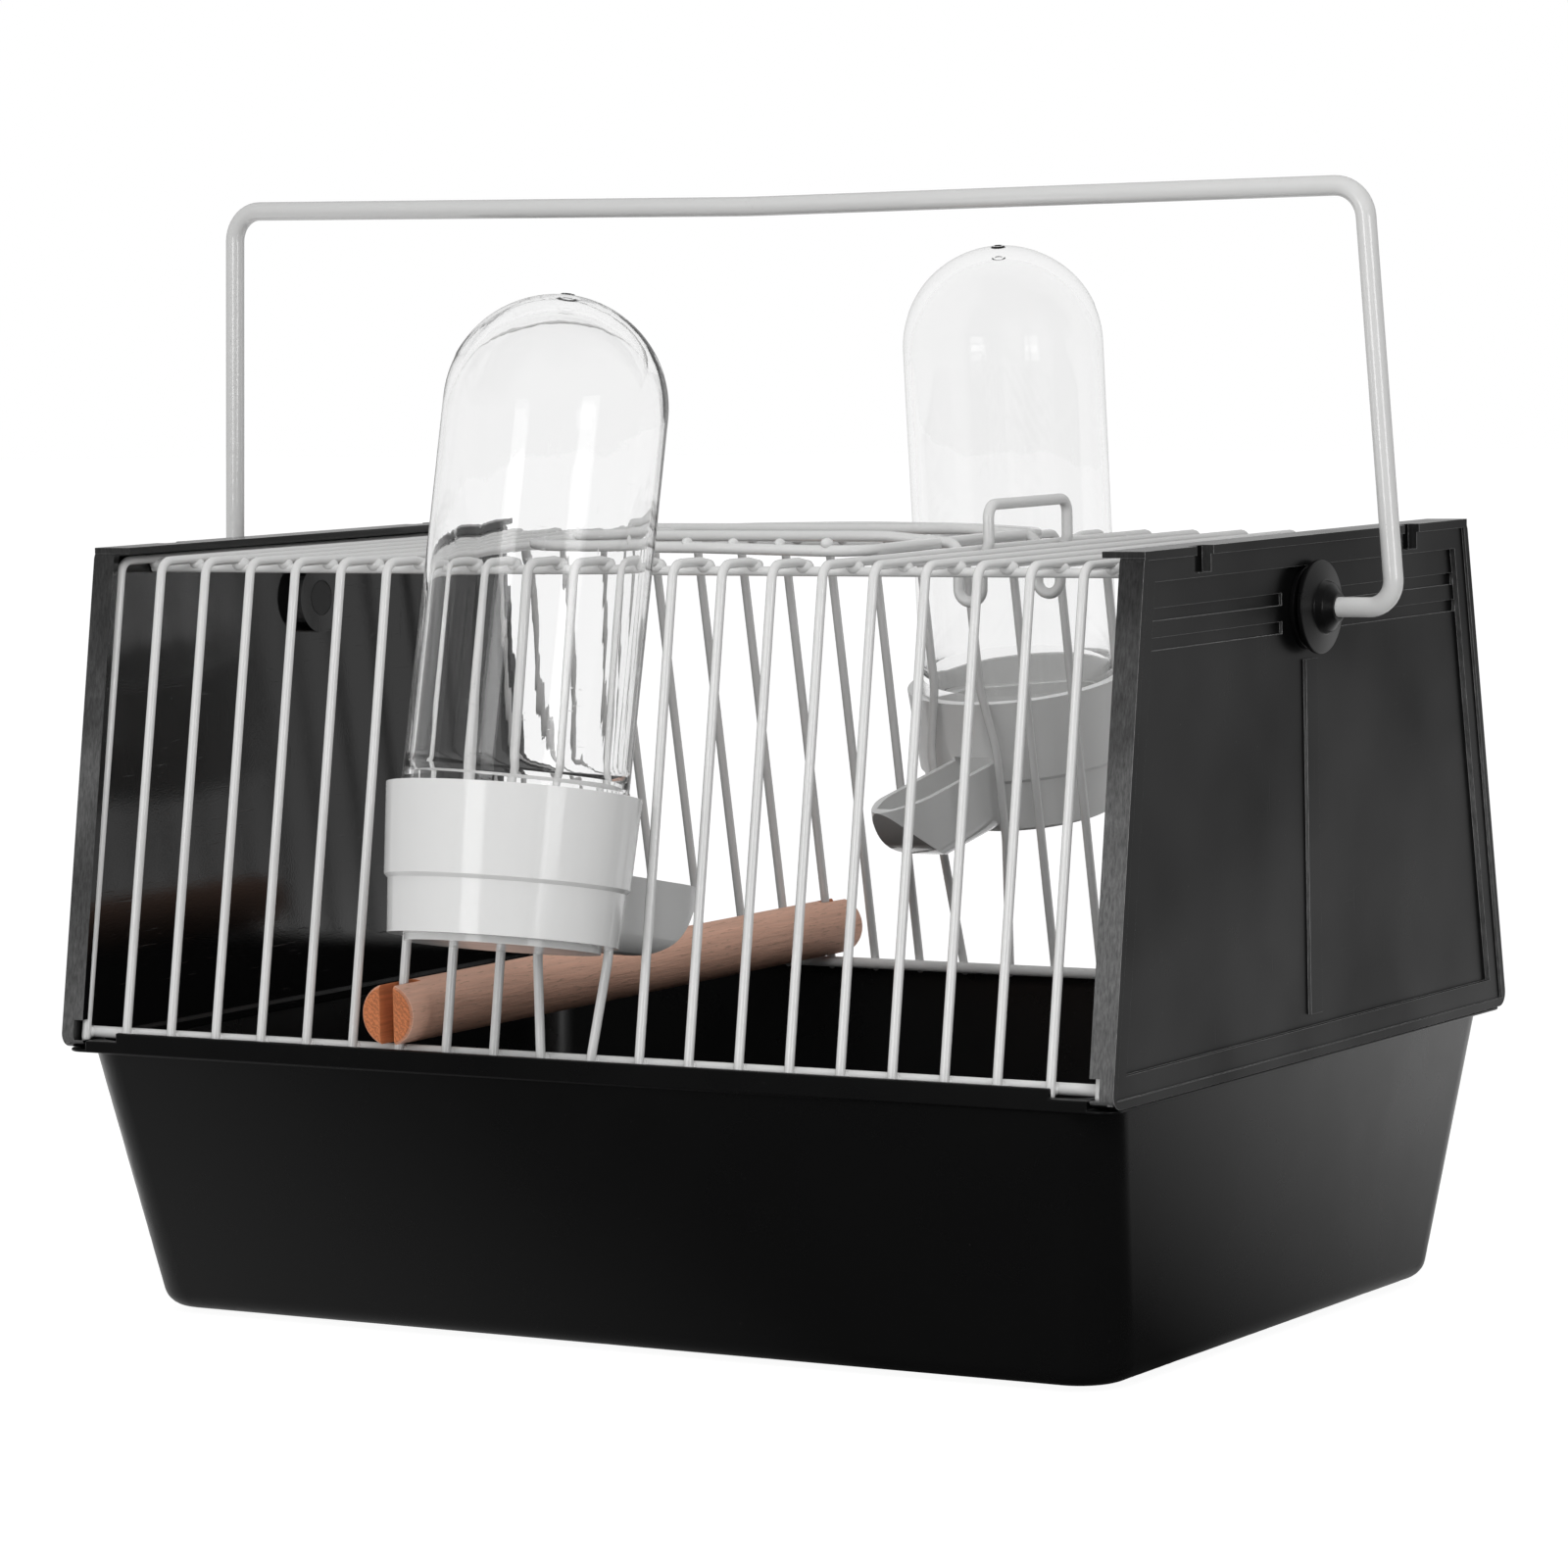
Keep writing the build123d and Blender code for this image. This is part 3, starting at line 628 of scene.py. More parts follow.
def bead_tree():
    """Sets a small lump on each point, turned and sized by the point's attributes."""
    tree, start, end = new_geometry_tree(
        "Beads",
        [("Size", FLOAT, 0.0015), ("Variation", FLOAT, 0.15), ("Seed", WHOLE, 3), ("Material", MATERIAL, None)],
    )
    ball = add_node(tree, "GeometryNodeMeshUVSphere", {"Segments": 12, "Rings": 8, "Radius": 1.0})
    chance = add_node(tree, "FunctionNodeRandomValue", data_type="FLOAT")
    variation = start.outputs["Variation"]
    for name, value in (
        ("Min_001", math_node(tree, "SUBTRACT", 1.0, variation)),
        ("Max_001", math_node(tree, "ADD", 1.0, variation)),
        ("Seed", start.outputs["Seed"]),
    ):
        tree.links.new(value, by_identifier(chance.inputs, name))
    factor = product(tree, by_identifier(chance.outputs, "Value_001"), start.outputs["Size"])
    scale = vector_math(tree, "SCALE", {0: named(tree, "bead_size", "FLOAT_VECTOR"), "Scale": factor})
    turn = add_node(tree, "FunctionNodeEulerToRotation", {0: named(tree, "bead_turn", "FLOAT_VECTOR")})
    lumps = add_node(
        tree, "GeometryNodeInstanceOnPoints",
        {
            "Points": start.outputs["Geometry"], "Instance": ball.outputs[0],
            "Rotation": turn.outputs[0], "Scale": scale.outputs[0],
        },
    )
    finish_tree(tree, lumps.outputs[0], start.outputs["Material"], end)
    return tree


def finish_tree(tree, geometry, material, end):
    real = add_node(tree, "GeometryNodeRealizeInstances", {"Geometry": geometry})
    smooth = add_node(tree, "GeometryNodeSetShadeSmooth", {"Geometry": real.outputs[0]})
    coat = add_node(tree, "GeometryNodeSetMaterial", {"Geometry": smooth.outputs[0], "Material": material})
    tree.links.new(coat.outputs[0], end.inputs["Geometry"])


def add_piece(name, data):
    """Links a new object to the scene."""
    piece = bpy.data.objects.new(name, data)
    bpy.context.scene.collection.objects.link(piece)
    return piece


def make_plain(piece):
    """Turns what a piece's modifiers make into its own mesh, and returns that mesh."""
    bpy.context.view_layer.update()
    evaluated = piece.evaluated_get(bpy.context.evaluated_depsgraph_get())
    plain = bpy.data.meshes.new_from_object(evaluated)
    piece.modifiers.clear()
    piece.data = plain
    plain.name = piece.name
    return plain


def grow(name, mesh, tree, inputs):
    """Runs a geometry tree on a mesh and returns the result as a plain object."""
    piece = add_piece(name, mesh)
    modifier = piece.modifiers.new("Shape", "NODES")
    modifier.node_group = tree
    sockets = {s.name: s.identifier for s in tree.interface.items_tree if s.in_out == "INPUT"}
    for label, value in inputs.items():
        modifier[sockets[label]] = value
    if len(make_plain(piece).polygons) == 0:
        raise RuntimeError(f"{name} came out empty")
    return piece


def line_mesh(name, lines):
    """Edges-only mesh of polylines given as (point in mm, bend radius in mm)."""
    points = []
    edges = []
    bends = []
    for line in lines:
        first = len(points)
        for place, bend in line:
            points.append(Vector(place) * MM)
            bends.append(bend * MM)
        edges += [(i, i + 1) for i in range(first, len(points) - 1)]
    mesh = bpy.data.meshes.new(name)
    mesh.from_pydata(points, edges, [])
    attribute = mesh.attributes.new("bend", "FLOAT", "POINT")
    attribute.data.foreach_set("value", bends)
    return mesh


def subdivide_line(line, step, clear):
    """Adds unbent points along long runs, keeping clear of each corner."""
    finer = [line[0]]
    for (a, _), (b, bend) in zip(line, line[1:]):
        start = Vector(a)
        run = Vector(b) - start
        parts = int((run.length - 2 * clear) // step)
        for k in range(1, parts + 1):
            along = (clear + (run.length - 2 * clear) * k / (parts + 1)) / run.length
            finer.append((tuple(start + run * along), 0.0))
        finer.append((b, bend))
    return finer


# ------------------------------------------------------------ shaped pieces
# Corners nearer than this many metres are joined. Faces that meet at less than the first angle are made one,
# and edges sharper than the second are rounded, in degrees.
SAME_PLACE = 2e-6
FLAT_ANGLE = 0.4
SHARP_ANGLE = 28.0


def stand_in(node, edge, material):
    """Replaces a CAD node by a plain copy of it with its sharp edges rounded."""
    mesh = frame["nodes"][node].data.copy()
    mesh.materials.clear()
    mesh.materials.append(material)
    work = bmesh.new()
    work.from_mesh(mesh)
    bmesh.ops.remove_doubles(work, verts=work.verts, dist=SAME_PLACE)
    bmesh.ops.dissolve_limit(
        work, angle_limit=math.radians(FLAT_ANGLE), verts=work.verts, edges=work.edges, delimit={"NORMAL"}
    )
    for face in work.faces:
        face.smooth = True
        face.material_index = 0
    work.to_mesh(mesh)
    work.free()
    for attribute in ("custom_normal", "sharp_face", "sharp_edge"):
        if attribute in mesh.attributes:
            mesh.attributes.remove(mesh.attributes[attribute])
    piece = add_piece(f"{node}_shell", mesh)
    bevel = piece.modifiers.new("Edges", "BEVEL")
    bevel.width = edge
    bevel.segments = 2
    bevel.limit_method = "ANGLE"
    bevel.angle_limit = math.radians(SHARP_ANGLE)
    bevel.use_clamp_overlap = True
    bevel.harden_normals = True
    mesh.materials.append(material)
    bevel.material = 1
    plain = make_plain(piece)
    # Marks the rounded faces. The panel material paints a highlight onto them.
    rounded = plain.attributes.new(ROUNDED, "FLOAT", "FACE")
    rounded.data.foreach_set("value", [float(face.material_index == 1) for face in plain.polygons])
    for face in plain.polygons:
        face.material_index = 0
    plain.materials.pop(index=1)
    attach(piece, frame["nodes"][node]["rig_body"])
    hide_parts(node)


def turned(name, profile, origin, axis, across, segments, material, radial):
    """Turns a profile of (radius, height) in mm about an axis; both ends of the profile lie on it.

    What radial gives for an angle, radius and height is added to the radius.
    """
    side = axis.cross(across)
    places = []
    faces = []
    local = []
    rings = []
    for radius, height in profile:
        first = len(places)
        count = 1 if radius == 0 else segments
        for k in range(count):
            angle = 2 * math.pi * k / segments
            reach = radius + (radial(angle, radius, height) if radius else 0.0)
            x, y = reach * math.cos(angle), reach * math.sin(angle)
            places.append((Vector(origin) + across * x + side * y + axis * height) * MM)
            local.append((x * MM, y * MM, height * MM))
        rings.append((first, count))
    for (a, na), (b, nb) in zip(rings, rings[1:]):
        for k in range(segments):
            n = (k + 1) % segments
            if na == 1:
                faces.append((a, b + n, b + k))
            elif nb == 1:
                faces.append((a + k, a + n, b))
            else:
                faces.append((a + k, a + n, b + n, b + k))
    mesh = bpy.data.meshes.new(name)
    mesh.from_pydata(places, [], faces)
    attribute = mesh.attributes.new(TURNED_PLACE, "FLOAT_VECTOR", "POINT")
    attribute.data.foreach_set("vector", [v for place in local for v in place])
    mesh.materials.append(material)
    work = bmesh.new()
    work.from_mesh(mesh)
    if work.calc_volume(signed=True) < 0:
        bmesh.ops.reverse_faces(work, faces=work.faces)
    for face in work.faces:
        face.smooth = True
    work.to_mesh(mesh)
    work.free()
    return add_piece(name, mesh)


# ---------------------------------------------------------------------- hood
def grid_half_depth(z):
    return FOOT_HALF_DEPTH - SLOPE * (z - RAIL_Z)


def wire_x(index):
    x = (index - (WIRE_COUNT - 1) / 2) * WIRE_PITCH
    return max(-END_WIRE_X, min(END_WIRE_X, x))


def leg_line(index, side):
    """Foot to roof corner of one leg."""
    x = wire_x(index)
    foot_z = RAIL_Z - WIRE_FOOT_DROP
    line = [((x, side * grid_half_depth(foot_z), foot_z), 0.0)]
    if index in SPOUT_WIRES:
        middle = SPREAD_Z[side]
        away = SPOUT_WIRES[index]
        low = middle - SPREAD_HALF_HEIGHT
        high = middle + SPREAD_HALF_HEIGHT
        for z, shift in ((low, away), (high, away), (high + SPREAD_EASE, 0.0)):
            line.append(((x + shift, side * grid_half_depth(z), z), SPREAD_BEND))
    line.append(((x, side * grid_half_depth(ROOF_Z), ROOF_Z), WIRE_BEND))
    return line


def hood_lines():
    """Every hood wire: whole ones over the roof, and cut ones at the door's opening."""
    lines = []
    for index in range(WIRE_COUNT):
        front = leg_line(index, -1)
        back = leg_line(index, 1)
        if FIRST_DOOR_WIRE <= index <= LAST_DOOR_WIRE:
            for leg, side in ((front, -1), (back, 1)):
                x = wire_x(index)
                turn = ((x, side * (TOP_RAIL_Y + STUB_TURN_OUT), ROOF_Z), STUB_BEND)
                tip = ((x, side * STUB_END_HALF_DEPTH, ROOF_Z - STUB_DIP), 0.0)
                lines.append([*leg, turn, tip])
        else:
            lines.append(front + back[::-1])
    return [subdivide_line(line, LINE_STEP, CORNER_CLEAR) for line in lines]


def bent_wires(name, lines, radius, seed, bend_steps, sides):
    """Coated wires along lines, with the hood's slight wander."""
    inputs = {
        "Radius": radius, "Wander": bpy.context.scene.carrier_hood.waviness, "Wander Scale": WANDER_SCALE,
        "Seed": float(seed), "Bend Steps": bend_steps, "Sides": sides,
        "Material": shared("hood coat", hood_wire_material),
    }
    return grow(name, line_mesh(f"{name}_lines", lines), shared("wire tree", wire_tree), inputs)


class CARRIER_OT_hood_wires(bpy.types.Operator):
    """Bend the hood's coated wires and finish its four rails"""

    bl_idname = "carrier.hood_wires"
    bl_label = "Hood wires and rails"

    def execute(self, context):
        settings = context.scene.carrier_hood
        wires = bent_wires("hood_wires", hood_lines(), settings.wire_radius, settings.seed, 6, 12)
        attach(wires, "hood")
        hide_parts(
            "front_wires", "back_wires", "roof_wires_left", "roof_wires_right",
            "front_roof_stubs", "back_roof_stubs",
        )
        dress(
            ["front_bottom_rail", "back_bottom_rail", "front_top_rail", "back_top_rail"],
            shared("hood coat", hood_wire_material),
        )
        return {"FINISHED"}


def bead_mesh(name, beads):
    """Points with the size and turn of the bead on each."""
    mesh = bpy.data.meshes.new(name)
    mesh.from_pydata([Vector(place) * MM for place, _, _ in beads], [], [])
    for label, column in (("bead_size", 1), ("bead_turn", 2)):
        attribute = mesh.attributes.new(label, "FLOAT_VECTOR", "POINT")
        attribute.data.foreach_set("vector", [v for bead in beads for v in bead[column]])
    return mesh


def weld_beads(name, beads, variation):
    """Lumps of the hood's coating over its welds."""
    settings = bpy.context.scene.carrier_hood
    inputs = {
        "Size": settings.weld_size, "Variation": variation, "Seed": settings.seed,
        "Material": shared("hood coat", hood_wire_material),
    }
    return grow(name, bead_mesh(f"{name}_points", beads), shared("bead tree", bead_tree), inputs)


class CARRIER_OT_welds(bpy.types.Operator):
    """Set a weld where each hood wire crosses a rail"""

    bl_idname = "carrier.welds"
    bl_label = "Welds"

    def execute(self, context):
        beads = []
        for index in range(WIRE_COUNT):
            for side in (-1, 1):
                x = wire_x(index)
                beads.append(((x, side * (BOTTOM_RAIL_Y + BOTTOM_WELD_OUT), RAIL_Z), BOTTOM_WELD, UNTURNED))
                beads.append(((x, side * TOP_RAIL_Y, TOP_RAIL_Z + TOP_WELD_UP), TOP_WELD, UNTURNED))
        welds = weld_beads("hood_welds", beads, 0.12)
        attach(welds, "hood")
        return {"FINISHED"}


class CARRIER_OT_handle(bpy.types.Operator):
    """Finish the carry handle and its two pivot bushes"""

    bl_idname = "carrier.handle"
    bl_label = "Carry handle"

    def execute(self, context):
        dress(["carry_handle"], shared("handle coat", handle_wire_material))
        for node in ("left_handle_bush", "right_handle_bush"):
            stand_in(node, BUSH_EDGE, shared("tray plastic", black_tray_material))
        return {"FINISHED"}


# Roof door, in millimetres
DOOR_WIRE_RADIUS = 1.2
DOOR_RING_Z = 166.25
DOOR_BAR_Z = 167.05
DOOR_BAR_Y = (-11.6, 22.6)
DOOR_BAR_LEFT_X = -46.0
DOOR_BAR_LEVEL_X = 34.0
LOOP_LEFT_X = 51.65
LOOP_RIGHT_X = 57.2
LOOP_BOTTOM_Z = 153.2
LOOP_BEND = 2.75
LEVER_X = 59.2
LEVER_FOOT_Z = 165.5
LEVER_Z = 173.7
LEVER_BEND = 3.0
BAR_BEND = 40.0
LOOP_ENTRY_BEND = 3.0
LOOP_EXIT_BEND = 4.0
RING_WELD_RUN = 38.5
RING_WELD_IN = 0.6
RING_WELD_UP = 1.0
RING_WELD = (0.8, 1.0, 0.8)
BAR_WELD_X = 46.2
BAR_WELD_DOWN = 0.4
BAR_WELD = (1.2, 1.1, 0.8)
# Corners of the door's ring: place from above, height off its plane, radius of the bend
DOOR_RING = (
    (-46.5, -40.0, 0.0, 22.0), (10.0, -47.0, 0.0, 40.0), (49.5, -50.0, -0.6, 9.0), (46.0, 10.0, -0.6, 30.0),
    (51.0, 30.0, -0.4, 12.0), (20.0, 48.0, -0.2, 40.0), (-12.0, 55.5, -0.2, 26.0), (-40.0, 42.0, 0.0, 22.0),
)


def door_lines():
    """The ring, then the two bars with their hanging loops and the lever between them."""
    ring = [((x, y, DOOR_RING_Z + lift), bend) for x, y, lift, bend in DOOR_RING]
    middle = (Vector(ring[0][0]) + Vector(ring[-1][0])) / 2
    ring.insert(0, (tuple(middle), 0.0))
    ring.append(ring[0])
    halves = []
    for y in DOOR_BAR_Y:
        halves.append([
            ((DOOR_BAR_LEFT_X, y, DOOR_BAR_Z), 0.0),
            ((DOOR_BAR_LEVEL_X, y, DOOR_BAR_Z), BAR_BEND),
            ((LOOP_LEFT_X + 0.2, y, ROOF_Z + 1.5), LOOP_ENTRY_BEND),
            ((LOOP_LEFT_X, y, LOOP_BOTTOM_Z), LOOP_BEND),
            ((LOOP_RIGHT_X, y, LOOP_BOTTOM_Z), LOOP_BEND),
            ((LOOP_RIGHT_X + 0.2, y, ROOF_Z - 3.0), LOOP_EXIT_BEND),
            ((LEVER_X, y, LEVER_FOOT_Z), LOOP_EXIT_BEND),
            ((LEVER_X, y, LEVER_Z), LEVER_BEND),
        ])
    return [ring, halves[0] + halves[1][::-1]]


class CARRIER_OT_roof_door(bpy.types.Operator):
    """Bend the roof door's ring, and the bars with their loops and lever"""

    bl_idname = "carrier.roof_door"
    bl_label = "Roof door"

    def execute(self, context):
        seed = context.scene.carrier_hood.seed + 4
        door = bent_wires("roof_door", door_lines(), DOOR_WIRE_RADIUS * MM, seed, 12, 16)
        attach(door, "door")
        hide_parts("door_ring", "door_hinge_wire")
        beads = []
        start_x, start_y = DOOR_RING[1][:2]
        rise = DOOR_RING[2][1] - start_y
        for index in range(FIRST_DOOR_WIRE + 4, LAST_DOOR_WIRE + 1):
            x = wire_x(index)
            y = start_y + rise * (x - start_x) / RING_WELD_RUN
            beads.append(((x, y + RING_WELD_IN, DOOR_RING_Z + RING_WELD_UP), RING_WELD, UNTURNED))
        for y in DOOR_BAR_Y:
            beads.append(((BAR_WELD_X, y, DOOR_RING_Z - BAR_WELD_DOWN), BAR_WELD, UNTURNED))
        lumps = weld_beads("door_welds", beads, 0.10)
        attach(lumps, "door")
        return {"FINISHED"}


class CARRIER_OT_tray(bpy.types.Operator):
    """Finish the tray"""

    bl_idname = "carrier.tray"
    bl_label = "Tray"

    def execute(self, context):
        stand_in("base_tray", TRAY_EDGE, shared("tray plastic", black_tray_material))
        return {"FINISHED"}


class CARRIER_OT_end_panels(bpy.types.Operator):
    """Finish the two end panels"""

    bl_idname = "carrier.end_panels"
    bl_label = "End panels"

    def execute(self, context):
        for node in ("left_end_panel", "right_end_panel"):
            stand_in(node, PANEL_EDGE, shared("panel plastic", black_panel_material))
        return {"FINISHED"}


# Feeders, in millimetres and degrees: each one's place along Y and Z, and which way it tilts inwards
FEEDER_X = 0.9
FEEDER_TILT = 10.5
FEEDERS = {"front": (-105.2, 119.7, 1), "rear": (103.6, 129.0, -1)}
# The tubes stand a little askew in their seats
TUBE_LEAN = {"front": 2.0, "rear": 3.9}
TUBE_SEAT_MIDDLE = -4.75
TUBE_RADIUS = 23.1
TUBE_WALL = 1.4
TUBE_FOOT = -9.5
FOOT_CHAMFER = 0.3
TUBE_DOME = 78.4
TUBE_CROWN_EXTRA = 1.6
TUBE_DRAFT = 0.15
STOP_RING_Z = 1.4
STOP_RING_HEIGHT = 0.5
STOP_RING_PROUD = 0.2
GATE_RADIUS = 1.8
GATE_HEIGHT = 0.3
TUBE_SIDES = 128
DOME_STEPS = 30
OUTER_WALL_STEPS = 16
INNER_WALL_STEPS = 44


def tube_profile():
    """Outline of the tube's wall, from the outer pole down to the foot and back up inside."""
    outer_top = TUBE_DOME + TUBE_RADIUS
    inner_radius = TUBE_RADIUS - TUBE_WALL
    inner_centre = TUBE_DOME - TUBE_CROWN_EXTRA
    gate_z = TUBE_DOME + math.sqrt(TUBE_RADIUS**2 - GATE_RADIUS**2)
    points = [
        (0, outer_top + GATE_HEIGHT * 0.4),
        (GATE_RADIUS * 0.45, outer_top + GATE_HEIGHT * 0.45),
        (GATE_RADIUS * 0.6, outer_top + GATE_HEIGHT),
        (GATE_RADIUS * 0.85, outer_top + GATE_HEIGHT * 0.95),
        (GATE_RADIUS, gate_z + 0.05),
    ]
    first = math.asin(GATE_RADIUS * 1.15 / TUBE_RADIUS)
    for k in range(DOME_STEPS + 1):
        angle = first + (math.pi / 2 - first) * k / DOME_STEPS
        points.append((TUBE_RADIUS * math.sin(angle), TUBE_DOME + TUBE_RADIUS * math.cos(angle)))
    ring_top = STOP_RING_Z + STOP_RING_HEIGHT
    for k in range(1, OUTER_WALL_STEPS):
        points.append((TUBE_RADIUS, TUBE_DOME + (ring_top - TUBE_DOME) * k / OUTER_WALL_STEPS))
    ring = TUBE_RADIUS + STOP_RING_PROUD
    points += [
        (TUBE_RADIUS, ring_top),
        (ring, ring_top - 0.2),
        (ring, STOP_RING_Z + 0.2),
        (TUBE_RADIUS, STOP_RING_Z),
        (TUBE_RADIUS, TUBE_FOOT + FOOT_CHAMFER),
        (TUBE_RADIUS - FOOT_CHAMFER, TUBE_FOOT),
        (inner_radius + FOOT_CHAMFER, TUBE_FOOT),
    ]
    start = TUBE_FOOT + FOOT_CHAMFER
    for k in range(INNER_WALL_STEPS + 1):
        points.append((inner_radius, start + (inner_centre - start) * k / INNER_WALL_STEPS))
    for k in range(1, DOME_STEPS):
        angle = math.pi / 2 * (1 - k / DOME_STEPS)
        points.append((inner_radius * math.sin(angle), inner_centre + inner_radius * math.cos(angle)))
    points.append((0, inner_centre + inner_radius))
    return points


def wall_wave(angle, radius, height):
    """Slow waves of the tube's inner wall, and the draft of both walls, in mm."""
    up = (height - TUBE_FOOT) / (TUBE_DOME - TUBE_FOOT)
    draft = -TUBE_DRAFT * max(0.0, min(1.0, up))
    if radius > TUBE_RADIUS - TUBE_WALL + 0.01:
        return draft
    fade = max(0.0, min(1.0, (radius - 8.0) / 10.0))
    wave = 0.10 * math.sin(2 * angle + 0.8) + 0.05 * math.sin(5 * angle + 0.02 * height)
    wave += 0.022 * math.sin(11 * angle + 1.9 + 0.03 * height)
    wave += 0.008 * math.sin(19 * angle - 0.04 * height)
    return draft + fade * wave


class CARRIER_OT_feeders(bpy.types.Operator):
    """Finish the two clear tubes and their white cups"""

    bl_idname = "carrier.feeders"
    bl_label = "Feeders"

    def execute(self, context):
        clear = shared("clear", clear_material)
        tilt = math.radians(FEEDER_TILT)
        for label, (y, z, inward) in FEEDERS.items():
            node = f"{label}_feeder_tube"
            upright = Vector((0.0, inward * math.sin(tilt), math.cos(tilt)))
            aside = Vector((1.0, 0.0, 0.0))
            lean = math.radians(TUBE_LEAN[label])
            axis = upright * math.cos(lean) + aside * math.sin(lean)
            across = (aside * math.cos(lean) - upright * math.sin(lean)) * inward
            origin = Vector((FEEDER_X, y, z)) + (upright - axis) * TUBE_SEAT_MIDDLE
            tube = turned(
                f"{label}_clear_tube", tube_profile(), origin, axis, across, TUBE_SIDES, clear, wall_wave
            )
            tube.visible_shadow = False
            tube.visible_diffuse = False
            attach(tube, f"{label}_tube")
            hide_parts(node)
            stand_in(f"{label}_feeder_cup", CUP_EDGE, shared("white", white_cup_material))
        return {"FINISHED"}


class CARRIER_OT_perch(bpy.types.Operator):
    """Finish the wooden perch"""

    bl_idname = "carrier.perch"
    bl_label = "Perch"

    def execute(self, context):
        stand_in("perch", PERCH_EDGE, shared("wood", wood_material))
        return {"FINISHED"}


# --------------------------------------------------------------------- stage
# Places and distances in metres, angles in degrees, the sensor's width in millimetres
CAMERA_PLACE = (0.65859, -1.06663, 0.21682)
CAMERA_AZIMUTH = 31.69
CAMERA_ELEVATION = 4.76
CAMERA_ROLL = -1.29
SENSOR_WIDTH = 36.0
PAPER_SIDE = (-0.525, 0.851, 0.0)
FLOOR_GLOW = 0.93
FAR_FLOOR = 0.52
FLOOR_BOUNCE = 0.40
AMBIENT = 0.40
FLOOR_REACH = 6.0
FLOOR_GAP = 0.0002
LAMP_AIM = (0.0, 0.0, 0.13)
# Name, azimuth in degrees, distance, height, (width, height), watts and whether gloss shows it
LAMPS = (
    ("left_box", 0.0, 0.90, 0.27, (0.25, 0.30), 0.75, True),
    ("right_box", 66.0, 0.95, 0.24, (0.27, 0.30), 0.75, True),
    ("key", 38.0, 0.66, 0.50, (0.36, 0.30), 1.95, False),
    ("fill", -46.0, 0.90, 0.12, (0.36, 0.20), 1.1, False),
    ("top_box", 20.0, 0.55, 1.60, (0.90, 0.70), 4.2, False),
)


def camera_matrix():
    """Place and turn of the camera from its azimuth, elevation and roll."""
    az, el, roll = (math.radians(v) for v in (CAMERA_AZIMUTH, CAMERA_ELEVATION, CAMERA_ROLL))
    back = Vector((math.sin(az) * math.cos(el), -math.cos(az) * math.cos(el), math.sin(el)))
    right = Vector((math.cos(az), math.sin(az), 0.0))
    up = back.cross(right)
    turned_right = right * math.cos(roll) + up * math.sin(roll)
    turned_up = up * math.cos(roll) - right * math.sin(roll)
    turn = Matrix((turned_right, turned_up, back)).transposed().to_4x4()
    return Matrix.Translation(Vector(CAMERA_PLACE)) @ turn


def seen_strength(tree, place, low, high, dim):
    """1 for rays from the eye or through glass; in gloss, 1 behind the carrier and dim before it.

    Returns the strength, the share of paper seen at the place, and 1 for plainly mirrored rays.
    """
    ray = tree.nodes.new("ShaderNodeLightPath").outputs
    seen = math_node(tree, "MAXIMUM", ray["Is Camera Ray"], ray["Is Transmission Ray"])
    mirrored = math_node(tree, "SUBTRACT", ray["Is Glossy Ray"], ray["Is Transmission Ray"])
    mirrored = math_node(tree, "MAXIMUM", mirrored, 0.0)
    depth = vector_math(tree, "DOT_PRODUCT", {0: place, 1: PAPER_SIDE})
    paper = spread_value(tree, depth.outputs["Value"], low, high, dim, 1.0)
    gloss = product(tree, ray["Is Glossy Ray"], paper)
    return math_node(tree, "MAXIMUM", seen, gloss), paper, mirrored


def diffuse_light(tree, strength):
    """The strength, for rays that light a matt surface."""
    return product(tree, tree.nodes.new("ShaderNodeLightPath").outputs["Is Diffuse Ray"], strength)


def floor_material(colour_of_floor):
    """White paper to the eye, grey to the light, and fading with distance in mirrored rays."""
    material, tree, shader, place = new_material("floor_paper")
    glow, paper, mirrored = seen_strength(tree, place, -0.10, 0.15, 0.03)
    reach = vector_math(tree, "LENGTH", {0: place})
    far = spread_value(tree, reach.outputs["Value"], 0.40, 0.90, 1.0, FAR_FLOOR)
    in_gloss = mix_colour(tree, mirrored, (1.0, 1.0, 1.0), far)
    glow = product(tree, glow, FLOOR_GLOW, in_gloss)
    unlit = product(tree, mirrored, math_node(tree, "SUBTRACT", 1.0, paper))
    feed(tree, shader, {
        "Base Color": mix_colour(tree, unlit, colour_of_floor, (0.0, 0.0, 0.0)),
        "Roughness": 0.9,
        "Specular IOR Level": 0.1,
        "Emission Color": (1.0, 1.0, 1.0, 1.0),
        "Emission Strength": math_node(tree, "MAXIMUM", glow, diffuse_light(tree, FLOOR_BOUNCE)),
    })
    return material


def add_floor(colour_of_floor):
    mesh = bpy.data.meshes.new("floor")
    corners = [(x * FLOOR_REACH, y * FLOOR_REACH, 0.0) for x, y in ((-1, -1), (1, -1), (1, 1), (-1, 1))]
    mesh.from_pydata(corners, [], [(0, 1, 2, 3)])
    mesh.materials.append(floor_material(colour_of_floor))
    floor = add_piece("floor", mesh)
    floor.location = (0.0, 0.0, -FLOOR_GAP)


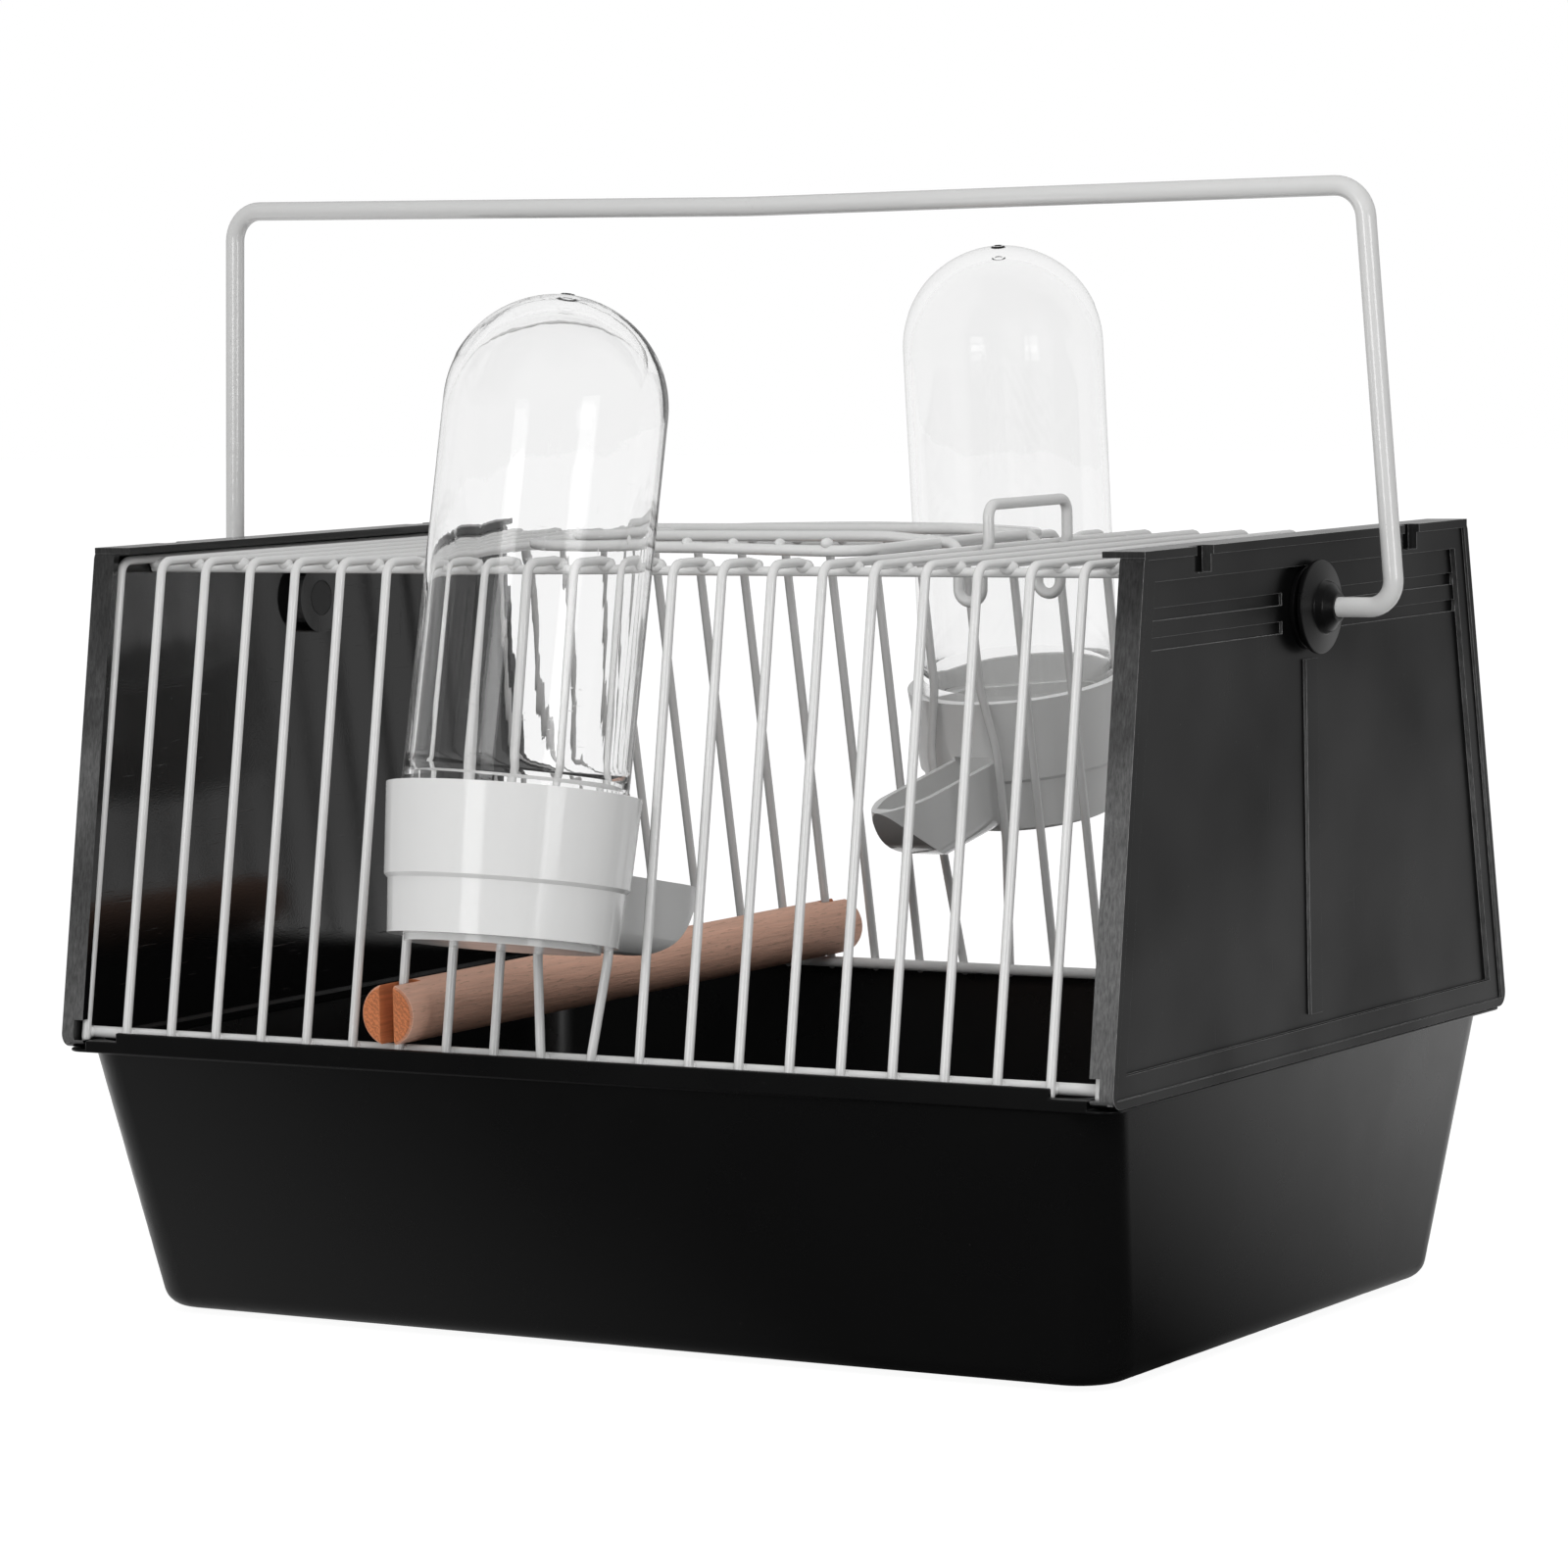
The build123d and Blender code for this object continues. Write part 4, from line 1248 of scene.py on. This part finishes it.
def studio_world():
    """White to the eye, and dimmer before the carrier than behind it in mirrored rays."""
    world = bpy.data.worlds.new("studio")
    world.use_nodes = True
    tree = world.node_tree
    background = next(n for n in tree.nodes if n.type == "BACKGROUND")
    ray = tree.nodes.new("ShaderNodeTexCoord").outputs["Generated"]
    seen, _, mirrored = seen_strength(tree, ray, -0.25, 0.45, 0.22)
    in_gloss = mix_colour(tree, mirrored, (1.0, 1.0, 1.0), (FAR_FLOOR, FAR_FLOOR, FAR_FLOOR))
    seen = product(tree, seen, in_gloss)
    feed(tree, background, {
        "Color": (1.0, 1.0, 1.0, 1.0),
        "Strength": math_node(tree, "MAXIMUM", seen, diffuse_light(tree, AMBIENT)),
    })
    return world


def area_lamp(name, place, size, power):
    """A rectangular lamp that faces the carrier."""
    lamp = bpy.data.lights.new(name, "AREA")
    lamp.shape = "RECTANGLE"
    lamp.size, lamp.size_y = size
    lamp.energy = power
    holder = add_piece(name, lamp)
    holder.location = place
    holder.rotation_euler = (Vector(LAMP_AIM) - Vector(place)).to_track_quat("-Z", "Y").to_euler()
    return holder


def add_camera(lens):
    data = bpy.data.cameras.new("camera")
    data.sensor_width = SENSOR_WIDTH
    data.lens = lens
    data.clip_start = 0.05
    data.clip_end = 50.0
    camera = add_piece("camera", data)
    camera.matrix_world = camera_matrix()
    return camera


class CARRIER_OT_stage(bpy.types.Operator):
    """Set up the floor, the lamps, the background and the camera"""

    bl_idname = "carrier.stage"
    bl_label = "Stage"

    def execute(self, context):
        scene = context.scene
        settings = scene.carrier_stage
        add_floor(settings.floor_colour)
        scene.world = studio_world()
        for name, azimuth, distance, height, size, watts, in_gloss in LAMPS:
            turn = math.radians(azimuth)
            place = (distance * math.sin(turn), -distance * math.cos(turn), height)
            lamp = area_lamp(name, place, size, watts * settings.lamp_strength)
            lamp.visible_glossy = in_gloss
            lamp.visible_transmission = in_gloss
        scene.camera = add_camera(settings.lens)
        scene.view_settings.view_transform = "Standard"
        return {"FINISHED"}


class CARRIER_PT_sidebar(bpy.types.Panel):
    """Buttons for the carrier's pieces"""

    bl_idname = "CARRIER_PT_sidebar"
    bl_label = "Bird travel carrier"
    bl_space_type = "VIEW_3D"
    bl_region_type = "UI"
    bl_category = "Carrier"

    def draw(self, context):
        for name in SETTINGS:
            box = self.layout.box()
            group = getattr(context.scene, name)
            for prop in group.bl_rna.properties:
                if prop.identifier not in ("rna_type", "name"):
                    box.prop(group, prop.identifier)
        for operator in OPERATORS:
            self.layout.operator(operator.bl_idname)


SETTINGS = {
    "carrier_hood": CarrierHoodSettings,
    "carrier_handle": CarrierHandleSettings,
    "carrier_plastic": CarrierPlasticSettings,
    "carrier_perch": CarrierPerchSettings,
    "carrier_stage": CarrierStageSettings,
}
OPERATORS = (
    CARRIER_OT_stage,
    CARRIER_OT_tray,
    CARRIER_OT_end_panels,
    CARRIER_OT_hood_wires,
    CARRIER_OT_welds,
    CARRIER_OT_handle,
    CARRIER_OT_roof_door,
    CARRIER_OT_feeders,
    CARRIER_OT_perch,
)


def register():
    for name, group in SETTINGS.items():
        bpy.utils.register_class(group)
        setattr(bpy.types.Scene, name, PointerProperty(type=group))
    for operator in OPERATORS:
        bpy.utils.register_class(operator)
    bpy.utils.register_class(CARRIER_PT_sidebar)


def unregister():
    bpy.utils.unregister_class(CARRIER_PT_sidebar)
    for operator in reversed(OPERATORS):
        bpy.utils.unregister_class(operator)
    for name, group in reversed(SETTINGS.items()):
        delattr(bpy.types.Scene, name)
        bpy.utils.unregister_class(group)


def main():
    register()
    for operator in OPERATORS:
        group, name = operator.bl_idname.split(".")
        getattr(getattr(bpy.ops, group), name)()


if __name__ == "__main__":
    main()
